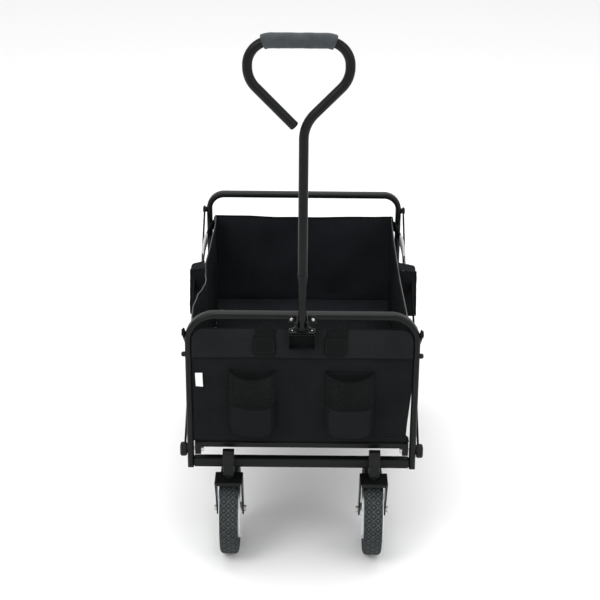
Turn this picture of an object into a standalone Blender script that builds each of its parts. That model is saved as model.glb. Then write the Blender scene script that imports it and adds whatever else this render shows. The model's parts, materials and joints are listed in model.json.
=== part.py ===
"""Folding utility wagon with a pull handle.

Metres, +Z up. The front of the wagon faces -Y, left is -X. The frame is two upright hoops joined on each
side by a double scissor of flat bars, and underneath by a floor that folds upwards in its middle. The
origin is on the ground under the middle of the wagon.
"""
import math

import bmesh
import bpy
from mathutils import Matrix, Vector

# Driving sizes
HOOP_HALF_WIDTH = 0.250      # centre plane to the outer face of a hoop leg
HOOP_TOP = 0.597
LEG_BOTTOM = 0.2265
WHEELBASE = 0.750            # front hoop plane to rear hoop plane
WHEEL_RADIUS = 0.102
WHEEL_WIDTH = 0.042
GAP = 0.0003                 # between pieces that touch

# Hoop tube
TUBE_WIDE = 0.014
TUBE_DEEP = 0.025
TUBE_CORNER = 0.006
FRONT_BEND = 0.058
REAR_BEND = 0.038
LEG_X = HOOP_HALF_WIDTH - TUBE_WIDE / 2
LEG_INNER_X = HOOP_HALF_WIDTH - TUBE_WIDE

# Casters and wheels
CASTER_X = 0.159
BLOCK_WIDE = 0.023
BLOCK_DEEP = 0.025
BLOCK_BOTTOM = 0.2175
BLOCK_TOP = 0.2745
BLOCK_CAP_TALL = 0.0055
SWIVEL_OFFSET = TUBE_DEEP / 2 + GAP + BLOCK_DEEP / 2
FRONT_TRAIL = 0.0475
REAR_TRAIL = 0.0197
PLATE_TOP = 0.2087
PLATE_HALF_WIDE = 0.0305
PLATE_HALF_DEEP = 0.025
SHEET = 0.003
AXLE_RADIUS = 0.004

# Places along the wagon, with the overall length centred on the origin
FRONT_AXLE_FROM_HOOP = FRONT_TRAIL - SWIVEL_OFFSET
REAR_AXLE_FROM_HOOP = REAR_TRAIL + SWIVEL_OFFSET
FRONT_Y = -(WHEELBASE + REAR_AXLE_FROM_HOOP + FRONT_AXLE_FROM_HOOP) / 2
REAR_Y = FRONT_Y + WHEELBASE
CENTRE_Y = (FRONT_Y + REAR_Y) / 2
FRONT_SWIVEL_Y = FRONT_Y - SWIVEL_OFFSET
FRONT_AXLE_Y = FRONT_SWIVEL_Y + FRONT_TRAIL
REAR_SWIVEL_Y = REAR_Y + SWIVEL_OFFSET
REAR_AXLE_Y = REAR_SWIVEL_Y + REAR_TRAIL

# Crossbars between the feet of the legs
CROSSBAR_BOTTOM = 0.2275
CROSSBAR_TALL = 0.022
CROSSBAR_DEEP = 0.020

# Folding floor
FLOOR_PIVOT_Z = 0.268
FLOOR_CENTRE_Z = 0.264
FLOOR_BAR_HALF = 0.009
FLOOR_BAR_BOTTOM = 0.2755
FLOOR_BAR_TOP = 0.2885
RAIL_BOTTOM = 0.258
RAIL_TOP = 0.278
RAIL_NOSE_BOTTOM = 0.271  # shallow where a rail meets the end bar
RAIL_NOSE_LONG = 0.038
RAIL_WIDE = 0.010
REAR_RAIL_X = 0.2055
FRONT_RAIL_X = 0.1945
BOARD_HALF_WIDE = 0.187
BOARD_BOTTOM = 0.2662
BOARD_TOP = 0.279
BOARD_SETBACK = 0.030
SLAT_DEEP = 0.022
FLOOR_SWEEP_RADIUS = 0.0232  # what the floor's end bar needs as it turns about its pivot

# Side scissors
BAR_TOP_Z = 0.548
BAR_LOW_Z = 0.262
CENTRE_TOP_Z = 0.525         # where the sliding bars meet, half-way along the side
BAR_HALF = 0.010
BAR_THICK = 0.0032
INNER_LAYER_X = 0.2508
OUTER_LAYER_X = 0.2544
CAP_INNER_X = 0.2506
CAP_OUTER_X = 0.2660
PIN_RADIUS = 0.004
PIN_HOLE = 0.0043

# Fabric
PANEL_HALF_WIDE = 0.2345
PANEL_BOTTOM = 0.2915
PANEL_SET_OUT = 0.005        # hoop plane to the panel's inner face
PANEL_THICK = 0.006
FRONT_PANEL_TOP = 0.563
REAR_PANEL_TOP = 0.527
BAND_BOTTOM = 0.4965
BAND_THICK = 0.0015
SIDE_X = 0.2375
SIDE_THICK = 0.003

# Handle
HANDLE_X = -0.0010
HANDLE_Y = FRONT_Y - 0.030
HANDLE_PIVOT_Z = 0.585
POST_RADIUS = 0.0083
UPPER_RADIUS = 0.0102
UPPER_BORE = 0.0088
BUTTON_RADIUS = 0.0042
BUTTON_HEAD_Y = 0.0165       # handle's axis to the face of the button, towards the wagon
COLLAR_RADIUS = 0.0114
COLLAR_BOTTOM = 0.676
COLLAR_TOP = 0.698
LOOP_CENTRE_X = -0.0119
LOOP_HALF_WIDE = 0.1002
LOOP_TOP = 1.1844
LOOP_SHOULDER = 1.1085
LOOP_NECK = 1.0168
GRIP_RADIUS = 0.0136

# Materials: colour, roughness, metallic
POWDER_COAT = ("powder_coat", (0.020, 0.021, 0.021), 0.42, 0.35)
BLACK_PLASTIC = ("black_plastic", (0.022, 0.022, 0.023), 0.50, 0.0)
BRIGHT_STEEL = ("bright_steel", (0.62, 0.62, 0.60), 0.28, 1.0)
TYRE_RUBBER = ("tyre_rubber", (0.034, 0.038, 0.041), 0.75, 0.0)
HUB_PLASTIC = ("hub_plastic", (0.47, 0.49, 0.51), 0.45, 0.0)
GRIP_FOAM = ("grip_foam", (0.045, 0.055, 0.062), 0.85, 0.0)
FABRIC = ("fabric", (0.014, 0.014, 0.016), 0.90, 0.0)
MESH_FABRIC = ("mesh_fabric", (0.020, 0.021, 0.023), 0.85, 0.0)

SIDES = (("left", -1), ("right", 1))


def clear_scene():
    for existing in list(bpy.data.objects):
        bpy.data.objects.remove(existing, do_unlink=True)


def get_material(spec):
    name, colour, roughness, metallic = spec
    found = bpy.data.materials.get(name)
    if found:
        return found
    made = bpy.data.materials.new(name)
    made.use_nodes = True
    shader = made.node_tree.nodes["Principled BSDF"]
    shader.inputs["Base Color"].default_value = (*colour, 1.0)
    shader.inputs["Roughness"].default_value = roughness
    shader.inputs["Metallic"].default_value = metallic
    return made


# ---- solids, each a closed bmesh in world coordinates ----

def box(x, y, z, bevel=0.0, segments=2):
    """A box from (low, high) pairs, with its edges rounded by bevel."""
    shape = bmesh.new()
    bmesh.ops.create_cube(shape, size=1.0)
    size = Vector((x[1] - x[0], y[1] - y[0], z[1] - z[0]))
    middle = Vector((x[0] + x[1], y[0] + y[1], z[0] + z[1])) / 2
    bmesh.ops.scale(shape, vec=size, verts=shape.verts)
    bmesh.ops.translate(shape, vec=middle, verts=shape.verts)
    if bevel:
        bmesh.ops.bevel(shape, geom=shape.edges[:], offset=bevel, segments=segments,
                        profile=0.5, affect="EDGES", clamp_overlap=True)
    return shape


def rod(centre, axis, radius, length, segments=12):
    """A cylinder along the X, Y or Z axis, centred on a point."""
    shape = bmesh.new()
    turn = {"X": Matrix.Rotation(math.pi / 2, 4, "Y"), "Y": Matrix.Rotation(math.pi / 2, 4, "X"),
            "Z": Matrix.Identity(4)}[axis]
    bmesh.ops.create_cone(shape, cap_ends=True, segments=segments, radius1=radius, radius2=radius,
                          depth=length, matrix=Matrix.Translation(centre) @ turn)
    return shape


def prism(outline, low, high, axis="X"):
    """Extrudes an outline from low to high. On X the outline is (y, z), on Y it is (x, z)."""
    place = {"X": lambda a, b, c: (c, a, b), "Y": lambda a, b, c: (a, c, b)}[axis]
    shape = bmesh.new()
    rings = [[shape.verts.new(place(a, b, level)) for a, b in outline] for level in (low, high)]
    shape.faces.new(rings[0])
    shape.faces.new(rings[1])
    join_rings(shape, rings)
    return shape


def join_rings(shape, rings):
    count = len(rings[0])
    for first, second in zip(rings, rings[1:]):
        for i in range(count):
            j = (i + 1) % count
            shape.faces.new((first[i], first[j], second[j], second[i]))


def turned(profile, centre, segments=30):
    """Turns a closed profile of (x, radius) points about an X axis through centre."""
    shape = bmesh.new()
    rings = []
    for k in range(segments):
        angle = 2 * math.pi * k / segments
        rings.append([shape.verts.new((centre[0] + x, centre[1] + r * math.cos(angle),
                                       centre[2] + r * math.sin(angle))) for x, r in profile])
    join_rings(shape, rings + rings[:1])
    return shape


def sweep(path, profile, side):
    """Carries a profile of (across, along side) points down a path that lies square to side."""
    side = Vector(side)
    points = [Vector(p) for p in path]
    shape = bmesh.new()
    rings = []
    for i, point in enumerate(points):
        ahead = points[min(i + 1, len(points) - 1)] - points[max(i - 1, 0)]
        across = side.cross(ahead.normalized())
        rings.append([shape.verts.new(point + across * u + side * v) for u, v in profile])
    join_rings(shape, rings)
    shape.faces.new(rings[0])
    shape.faces.new(rings[-1])
    return shape


def arc(centre, radius, start, end, steps):
    """Points on an arc, from start to end in degrees, both ends included."""
    angles = [math.radians(start + (end - start) * i / steps) for i in range(steps + 1)]
    return [(centre[0] + radius * math.cos(a), centre[1] + radius * math.sin(a)) for a in angles]


def circle(radius, segments=12):
    return arc((0, 0), radius, 0, 360 * (segments - 1) / segments, segments - 1)


def rounded_rectangle(wide, deep, corner, steps=2):
    """A closed outline centred on the origin."""
    outline = []
    for cx, cy, start in ((1, 1, 0), (-1, 1, 90), (-1, -1, 180), (1, -1, 270)):
        centre = (cx * (wide / 2 - corner), cy * (deep / 2 - corner))
        outline += arc(centre, corner, start, start + 90, steps)
    return outline


def rounded_path(corners, radii, steps=7):
    """A 2D path through corners, with each inner corner rounded by its radius."""
    path = [Vector(corners[0])]
    for before, here, after, radius in zip(corners, corners[1:], corners[2:], radii):
        here = Vector(here)
        back = (Vector(before) - here).normalized()
        ahead = (Vector(after) - here).normalized()
        half = back.angle(ahead) / 2
        centre = here + (back + ahead).normalized() * radius / math.sin(half)
        start = here + back * radius / math.tan(half) - centre
        turn = start.angle_signed(here + ahead * radius / math.tan(half) - centre)
        for i in range(steps + 1):
            path.append(centre + Matrix.Rotation(-turn * i / steps, 2) @ start)
    path.append(Vector(corners[-1]))
    return path


def stadium(start, end, half):
    """The outline of a bar with round ends, between two (y, z) points."""
    lean = math.degrees(math.atan2(end[1] - start[1], end[0] - start[0]))
    return arc(start, half, lean + 90, lean + 270, 8) + arc(end, half, lean - 90, lean + 90, 8)


# ---- nodes ----

def as_object(name, shape):
    bmesh.ops.recalc_face_normals(shape, faces=shape.faces)
    mesh = bpy.data.meshes.new(name)
    shape.to_mesh(mesh)
    shape.free()
    made = bpy.data.objects.new(name, mesh)
    bpy.context.collection.objects.link(made)
    return made


def make_node(name, solids, spec, origin, holes=()):
    """Joins solids into one body, cuts the holes, and puts the object's origin on its joint's axis."""
    made = as_object(name, solids[0])
    operands = [(as_object(name + "_add", s), "UNION") for s in solids[1:]]
    operands += [(as_object(name + "_cut", s), "DIFFERENCE") for s in holes]
    for other, operation in operands:
        step = made.modifiers.new(operation.lower(), "BOOLEAN")
        step.operation = operation
        step.solver = "EXACT"
        step.object = other
    if operands:
        bpy.context.view_layer.update()
        evaluated = made.evaluated_get(bpy.context.evaluated_depsgraph_get())
        joined = bpy.data.meshes.new_from_object(evaluated)
        made.modifiers.clear()
        made.data = joined
        for other, _ in operands:
            bpy.data.objects.remove(other, do_unlink=True)
    made.data.transform(Matrix.Translation(-Vector(origin)))
    made.location = origin
    made.data.materials.clear()
    made.data.materials.append(get_material(spec))
    made.data.shade_smooth()
    made.data.set_sharp_from_angle(angle=math.radians(35))
    return made


# ---- frame ----

def make_hoop(name, y, bend):
    top = HOOP_TOP - TUBE_WIDE / 2
    corners = [(-LEG_X, LEG_BOTTOM), (-LEG_X, top), (LEG_X, top), (LEG_X, LEG_BOTTOM)]
    path = [(p.x, y, p.y) for p in rounded_path(corners, (bend, bend))]
    tube = sweep(path, rounded_rectangle(TUBE_WIDE, TUBE_DEEP, TUBE_CORNER), (0, 1, 0))
    make_node(name, [tube], POWDER_COAT, (0, y, FLOOR_PIVOT_Z))


def make_crossbar(name, y, outward):
    """The square tube between the feet of a hoop; its outer face is flush with the legs."""
    outer = y + outward * TUBE_DEEP / 2
    ends = sorted((outer, outer - outward * CROSSBAR_DEEP))
    reach = LEG_INNER_X - GAP
    bar = box((-reach, reach), ends, (CROSSBAR_BOTTOM, CROSSBAR_BOTTOM + CROSSBAR_TALL), 0.003)
    make_node(name, [bar], POWDER_COAT, (0, y, FLOOR_PIVOT_Z))


def make_caster_block(name, x, y, hoop_y):
    """The housing of the caster's stem, relieved at its top for the floor's end bar as it folds."""
    half_wide, half_deep, brim = BLOCK_WIDE / 2, BLOCK_DEEP / 2, 0.001
    body = box((x - half_wide, x + half_wide), (y - half_deep, y + half_deep),
               (BLOCK_BOTTOM, BLOCK_TOP), 0.002)
    cap = box((x - half_wide - brim, x + half_wide + brim), (y - half_deep - brim, y + half_deep + brim),
              (BLOCK_TOP - brim, BLOCK_TOP + BLOCK_CAP_TALL), 0.002)
    bore = rod((x, y, BLOCK_BOTTOM + 0.018), "Z", 0.0063, 0.040)
    relief = rod((x, hoop_y, FLOOR_PIVOT_Z), "X", FLOOR_SWEEP_RADIUS, 0.040, 36)
    make_node(name, [body, cap], POWDER_COAT, (x, y, BLOCK_BOTTOM), [bore, relief])


def make_fork(name, x, swivel_y, axle_y):
    """A bent sheet fork with its race and stem; the arms reach from the plate to the axle."""
    underside = PLATE_TOP - SHEET
    plate = box((x - PLATE_HALF_WIDE, x + PLATE_HALF_WIDE),
                (swivel_y - PLATE_HALF_DEEP, swivel_y + PLATE_HALF_DEEP), (underside, PLATE_TOP), 0.0008, 1)
    lip = box((x - PLATE_HALF_WIDE + 0.004, x + PLATE_HALF_WIDE - 0.004),
              (swivel_y - PLATE_HALF_DEEP, swivel_y - PLATE_HALF_DEEP + SHEET),
              (underside - 0.005, underside + 0.001), 0.0008, 1)
    reach = 0.014
    foot = arc((axle_y, WHEEL_RADIUS), reach, 0, -180, 10)
    outline = [(swivel_y - PLATE_HALF_DEEP + 0.002, PLATE_TOP - 0.001),
               (swivel_y + PLATE_HALF_DEEP - 0.002, PLATE_TOP - 0.001)] + foot
    solids = [plate, lip]
    for side in (-1, 1):
        outer = x + side * PLATE_HALF_WIDE
        solids.append(prism(outline, *sorted((outer - side * SHEET, outer - side * 0.0001))))
    solids.append(rod((x, swivel_y, (underside + 0.001 + BLOCK_BOTTOM - 0.0005) / 2), "Z", 0.0110,
                      BLOCK_BOTTOM - 0.0005 - underside - 0.001, 24))
    solids.append(rod((x, swivel_y, 0.230), "Z", 0.006, 0.044))
    axle_hole = rod((x, axle_y, WHEEL_RADIUS), "X", AXLE_RADIUS + GAP, 0.080)
    make_node(name, solids, POWDER_COAT, (x, swivel_y, PLATE_TOP), [axle_hole])


def make_axle(name, x, axle_y):
    shank = rod((x, axle_y, WHEEL_RADIUS), "X", AXLE_RADIUS, 2 * PLATE_HALF_WIDE + 0.004)
    heads = [rod((x + side * (PLATE_HALF_WIDE + 0.0028), axle_y, WHEEL_RADIUS), "X", 0.0068, 0.005, 6)
             for side in (-1, 1)]
    make_node(name, [shank, *heads], BRIGHT_STEEL, (x, axle_y, WHEEL_RADIUS))


def make_wheel(end, side_name, x, axle_y):
    """A solid tyre on a moulded hub, both turned about the axle."""
    centre = (x, axle_y, WHEEL_RADIUS)
    half, rim = WHEEL_WIDTH / 2, 0.066
    shoulder = 0.009
    outer = [(half - shoulder + px, WHEEL_RADIUS - shoulder + pr)
             for px, pr in arc((0, 0), shoulder, 0, 90, 4)]
    tyre = outer + [(-px, pr) for px, pr in reversed(outer)]
    tyre += [(-half + 0.002, rim), (half - 0.002, rim)]
    make_node(f"{end}_tyre_{side_name}", [turned(tyre, centre)], TYRE_RUBBER, centre)
    face, web, boss = 0.0185, 0.005, 0.0262
    bore, boss_radius, lip = AXLE_RADIUS + GAP, 0.015, rim - GAP
    right = [(boss, bore), (boss, boss_radius), (web, boss_radius + 0.003), (web, lip - 0.008),
             (face, lip - 0.004), (face, lip)]
    hub = right + [(-px, pr) for px, pr in reversed(right)]
    make_node(f"{end}_hub_{side_name}", [turned(hub, centre)], HUB_PLASTIC, centre)


def make_running_gear():
    for side_name, side in SIDES:
        x = side * CASTER_X
        for end, hoop_y, swivel_y, axle_y in (("front", FRONT_Y, FRONT_SWIVEL_Y, FRONT_AXLE_Y),
                                              ("rear", REAR_Y, REAR_SWIVEL_Y, REAR_AXLE_Y)):
            make_caster_block(f"{end}_wheel_block_{side_name}", x, swivel_y, hoop_y)
            make_fork(f"{end}_fork_{side_name}", x, swivel_y, axle_y)
            make_axle(f"{end}_axle_bolt_{side_name}", x, axle_y)
            make_wheel(end, side_name, x, axle_y)


# ---- folding floor ----

def make_floor_half(end, pivot_y, inward, rail_x):
    """One half of the floor frame and its board. inward points from the hoop to the centre, along Y."""
    def span(near, far):
        return sorted((pivot_y + inward * near, pivot_y + inward * far))

    to_centre = WHEELBASE / 2
    ear_outer, ear_inner, bar_end = 0.2335, 0.2205, 0.2125
    solids = [box((-bar_end, bar_end), span(-FLOOR_BAR_HALF, FLOOR_BAR_HALF),
                  (FLOOR_BAR_BOTTOM, FLOOR_BAR_TOP), 0.0015, 1)]
    holes = []
    for side in (-1, 1):
        bridge = sorted((side * 0.205, side * ear_outer))
        solids.append(box(bridge, span(-FLOOR_BAR_HALF + 0.0005, FLOOR_BAR_HALF - 0.0005),
                          (FLOOR_BAR_BOTTOM + 0.0008, FLOOR_BAR_TOP - 0.0005)))
        foot = arc((pivot_y, FLOOR_PIVOT_Z - 0.004), 0.0095, 180, 360, 10)
        ear = foot + [(pivot_y + 0.0095, FLOOR_BAR_TOP - 0.003), (pivot_y - 0.0095, FLOOR_BAR_TOP - 0.003)]
        solids.append(prism(ear, *sorted((side * ear_inner, side * (ear_outer - 0.0003)))))
        holes.append(rod((side * 0.2265, pivot_y, FLOOR_PIVOT_Z), "X", PIN_HOLE, 0.020))
        rail = sorted((side * (rail_x - RAIL_WIDE / 2), side * (rail_x + RAIL_WIDE / 2)))
        solids.append(box(rail, span(0.0, RAIL_NOSE_LONG + 0.002), (RAIL_NOSE_BOTTOM, RAIL_TOP), 0.001, 1))
        solids.append(box(rail, span(RAIL_NOSE_LONG, to_centre + 0.012), (RAIL_BOTTOM, RAIL_TOP), 0.001, 1))
    for near in (0.070, to_centre - 0.060):
        solids.append(box((-rail_x, rail_x), span(near, near + SLAT_DEEP),
                          (RAIL_BOTTOM + 0.001, BOARD_BOTTOM - GAP)))
    if end == "rear":
        holes += [rod((side * rail_x, CENTRE_Y, FLOOR_CENTRE_Z), "X", PIN_HOLE - 0.001, 0.020)
                  for side in (-1, 1)]
    else:
        solids += [rod((side * (rail_x + 0.010), CENTRE_Y, FLOOR_CENTRE_Z), "X", PIN_RADIUS - 0.001, 0.026)
                   for side in (-1, 1)]
    make_node(f"floor_frame_{end}", solids, POWDER_COAT, (0, pivot_y, FLOOR_PIVOT_Z), holes)
    board = box((-BOARD_HALF_WIDE, BOARD_HALF_WIDE), span(BOARD_SETBACK, to_centre - 0.0015),
                (BOARD_BOTTOM, BOARD_TOP), 0.002)
    make_node(f"floor_board_{end}", [board], FABRIC, (0, pivot_y, FLOOR_PIVOT_Z))


def make_floor():
    make_floor_half("rear", REAR_Y, -1, REAR_RAIL_X)
    make_floor_half("front", FRONT_Y, 1, FRONT_RAIL_X)
    for end, y in (("front", FRONT_Y), ("rear", REAR_Y)):
        for side_name, side in SIDES:
            head = rod((side * 0.2172, y, FLOOR_PIVOT_Z), "X", 0.006, 0.0060)
            shank_end = LEG_INNER_X - GAP
            shank = rod((side * (shank_end + 0.216) / 2, y, FLOOR_PIVOT_Z), "X", PIN_RADIUS,
                        shank_end - 0.216)
            make_node(f"{end}_floor_screw_{side_name}", [head, shank], BRIGHT_STEEL, (0, y, FLOOR_PIVOT_Z))


# ---- side scissors ----

def make_scissor(end, side_name, side, hoop_y, inward, pinned_layer, sliding_layer):
    """The pinned bar hangs from the hoop to the centre; the sliding bar runs from the centre to the leg."""
    centre_y = hoop_y + inward * WHEELBASE / 2
    pinned_drop, sliding_rise = BAR_TOP_Z - BAR_LOW_Z, CENTRE_TOP_Z - BAR_LOW_Z
    share = pinned_drop / (pinned_drop + sliding_rise)
    crossing = (hoop_y + inward * share * WHEELBASE / 2, BAR_TOP_Z - share * pinned_drop)
    top, bottom = (hoop_y, BAR_TOP_Z), (centre_y, BAR_LOW_Z)

    def layer(inner):
        return sorted((side * inner, side * (inner + BAR_THICK)))

    def pin(point, low, high, radius):
        return rod((side * (low + high) / 2, point[0], point[1]), "X", radius, high - low)

    def across(point, radius=PIN_HOLE):
        return pin(point, 0.240, 0.275, radius)

    origin = (0, top[0], top[1])
    pinned = prism(stadium(top, bottom, BAR_HALF), *layer(pinned_layer))
    make_node(f"{end}_pinned_bar_{side_name}", [pinned], POWDER_COAT, origin,
              [across(top), across(crossing)])

    centre_top, foot = (centre_y, CENTRE_TOP_Z), (hoop_y, BAR_LOW_Z)
    solids = [prism(stadium(centre_top, foot, BAR_HALF), *layer(sliding_layer))]
    lean = Vector(foot) - Vector(centre_top)
    cap_start = Vector(foot) - lean.normalized() * 0.022
    solids.append(prism(stadium(cap_start, foot, BAR_HALF + 0.002),
                        *sorted((side * CAP_INNER_X, side * CAP_OUTER_X))))
    stem = (INNER_LAYER_X - 0.0005, OUTER_LAYER_X + BAR_THICK + 0.0020)
    solids.append(pin(crossing, *stem, PIN_RADIUS))
    if sliding_layer == OUTER_LAYER_X:
        solids.append(pin(crossing, OUTER_LAYER_X + BAR_THICK - 0.0005, stem[1], 0.0075))
    make_node(f"{end}_sliding_bar_{side_name}", solids, POWDER_COAT, (0, crossing[0], crossing[1]))

    low = HOOP_HALF_WIDTH + GAP
    high = pinned_layer + BAR_THICK + GAP
    solids = [pin(top, low, high + 0.001, PIN_RADIUS), pin(top, high, high + 0.0022, 0.0075)]
    if pinned_layer == OUTER_LAYER_X:
        solids.append(pin(top, low, OUTER_LAYER_X - GAP, 0.0070))
    make_node(f"{end}_knob_bolt_{side_name}", solids, BLACK_PLASTIC, origin)


def make_scissors():
    for side_name, side in SIDES:
        make_scissor("front", side_name, side, FRONT_Y, 1, INNER_LAYER_X, OUTER_LAYER_X)
        make_scissor("rear", side_name, side, REAR_Y, -1, OUTER_LAYER_X, INNER_LAYER_X)


# ---- fabric ----

def panel_outline(half_wide, bottom, top, corner=0.030):
    """An upright (x, z) outline whose top corners follow the bends of the hoop."""
    return ([(half_wide, bottom)] + arc((half_wide - corner, top - corner), corner, 0, 90, 6)
            + arc((-half_wide + corner, top - corner), corner, 90, 180, 6) + [(-half_wide, bottom)])


def make_end_panels():
    inner, outer = FRONT_Y - PANEL_SET_OUT, FRONT_Y - PANEL_SET_OUT - PANEL_THICK
    wide = (-PANEL_HALF_WIDE, PANEL_HALF_WIDE)
    front = prism(panel_outline(PANEL_HALF_WIDE, PANEL_BOTTOM, FRONT_PANEL_TOP), outer, inner, "Y")
    band = prism(panel_outline(PANEL_HALF_WIDE - 0.0005, BAND_BOTTOM, FRONT_PANEL_TOP - 0.0005),
                 outer - BAND_THICK, inner - 0.002, "Y")
    make_node("front_panel", [front, band], FABRIC, (0, FRONT_Y, FLOOR_PIVOT_Z))
    rear = box(wide, (REAR_Y + PANEL_SET_OUT, REAR_Y + PANEL_SET_OUT + PANEL_THICK),
               (PANEL_BOTTOM, REAR_PANEL_TOP), 0.002)
    make_node("rear_panel", [rear], FABRIC, (0, REAR_Y, FLOOR_PIVOT_Z))
    face = outer - BAND_THICK - GAP
    for side_name, x in (("left", -0.0815), ("right", 0.0706)):
        strap = box((x - 0.0233, x + 0.0233), (face - 0.0022, face), (0.4995, 0.5640), 0.0008, 1)
        make_node(f"closing_strap_{side_name}", [strap], FABRIC, (0, FRONT_Y, FLOOR_PIVOT_Z))
    for side_name, x, half, bottom, top in (("left", -0.1073, 0.0512, 0.3035, 0.4640),
                                            ("right", 0.1018, 0.0533, 0.3020, 0.4610)):
        make_pocket(side_name, x, half, bottom, top, outer - GAP)


def make_pocket(side_name, x, half, bottom, top, back):
    """A cup pocket: a pouch with a rounded bottom, open at its top."""
    depth, wall = 0.036, 0.0025
    shell = box((x - half, x + half), (back - depth, back), (bottom, top), 0.012, 3)
    past = 0.01
    wide = (x - half - past, x + half + past)
    lid = box(wide, (back - depth - past, back + past), (top - 0.014, top + past))
    back_slab = box(wide, (back - 0.0130, back + past), (bottom - past, top + past))
    flat_back = box((x - half, x + half), (back - 0.0135, back), (bottom, top - 0.014), 0.001, 1)
    hollow = box((x - half + wall, x + half - wall), (back - depth + wall, back - wall),
                 (bottom + wall, top + 0.02), 0.0095, 3)
    pouch = make_node(f"cup_pocket_{side_name}", [shell], MESH_FABRIC, (0, FRONT_Y, FLOOR_PIVOT_Z),
                      [lid, back_slab])
    joined = as_object(pouch.name + "_back", flat_back)
    cutter = as_object(pouch.name + "_hollow", hollow)
    for cutter_object, operation in ((joined, "UNION"), (cutter, "DIFFERENCE")):
        cutter_object.location = (0, 0, 0)
        step = pouch.modifiers.new(operation.lower(), "BOOLEAN")
        step.operation = operation
        step.solver = "EXACT"
        step.object = cutter_object
        cutter_object.hide_render = True
        cutter_object.display_type = "WIRE"


def make_side_panels():
    front, rear = FRONT_Y + TUBE_DEEP / 2 + 0.001, REAR_Y - TUBE_DEEP / 2 - 0.001
    outline = [(front, PANEL_BOTTOM), (rear, PANEL_BOTTOM), (rear, REAR_PANEL_TOP - 0.003),
               (front, FRONT_PANEL_TOP - 0.010)]
    grip_front, grip_rear = FRONT_Y + 0.40, FRONT_Y + 0.715
    for side_name, side in SIDES:
        panel = prism(outline, *sorted((side * SIDE_X, side * (SIDE_X + SIDE_THICK))))
        make_node(f"side_panel_{side_name}", [panel], FABRIC, (0, REAR_Y, FLOOR_PIVOT_Z))
        path = []
        steps = 12
        for i in range(steps + 1):
            share = i / steps
            bulge = 0.0060 * math.sin(math.pi * share) ** 0.6
            path.append((side * (SIDE_X + SIDE_THICK + 0.0018 + bulge),
                         grip_front + (grip_rear - grip_front) * share, 0.520))
        strap = sweep(path, rounded_rectangle(0.0025, 0.026, 0.0008, 1), (0, 0, 1))
        make_node(f"carry_handle_{side_name}", [strap], FABRIC, (0, REAR_Y, FLOOR_PIVOT_Z))


# ---- pull handle ----

def make_handle_bracket():
    """Two screwed tabs on the bar, a channel for the handle's foot, and an open-fronted tray below it."""
    face = FRONT_Y - TUBE_DEEP / 2 - GAP
    x = HANDLE_X
    tabs = box((x - 0.030, x + 0.030), (face - 0.0025, face), (0.5775, HOOP_TOP), 0.001, 1)
    back = box((x - 0.013, x + 0.013), (face - 0.0025, face), (0.553, 0.5785), 0.001, 1)
    tray_half, tray_deep, tray_bottom, tray_top, wall = 0.0285, 0.022, 0.5245, 0.5594, 0.002
    tray = box((x - tray_half, x + tray_half), (face - tray_deep, face), (tray_bottom, tray_top), 0.002, 1)
    hollow = box((x - tray_half + wall, x + tray_half - wall), (face - tray_deep - 0.01, face - 2 * wall),
                 (tray_bottom + wall, tray_top - 2 * wall))
    solids = [tabs, back, tray]
    for side in (-1, 1):
        cheek_x = sorted((x + side * 0.0095, x + side * 0.0120))
        cheek = [(face, 0.556), (face, 0.594), (HANDLE_Y - 0.004, 0.594)]
        cheek += [(HANDLE_Y - 0.012, HANDLE_PIVOT_Z + 0.004), (HANDLE_Y - 0.012, HANDLE_PIVOT_Z - 0.008),
                  (HANDLE_Y, 0.556)]
        solids.append(prism(cheek, *cheek_x))
        solids.append(rod((x + side * 0.0225, face - 0.003, 0.5875), "Y", 0.0042, 0.004))
    pin_hole = rod((x, HANDLE_Y, HANDLE_PIVOT_Z), "X", 0.0033, 0.040)
    make_node("handle_bracket", solids, POWDER_COAT, (x, HANDLE_Y, HANDLE_PIVOT_Z), [pin_hole, hollow])


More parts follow.
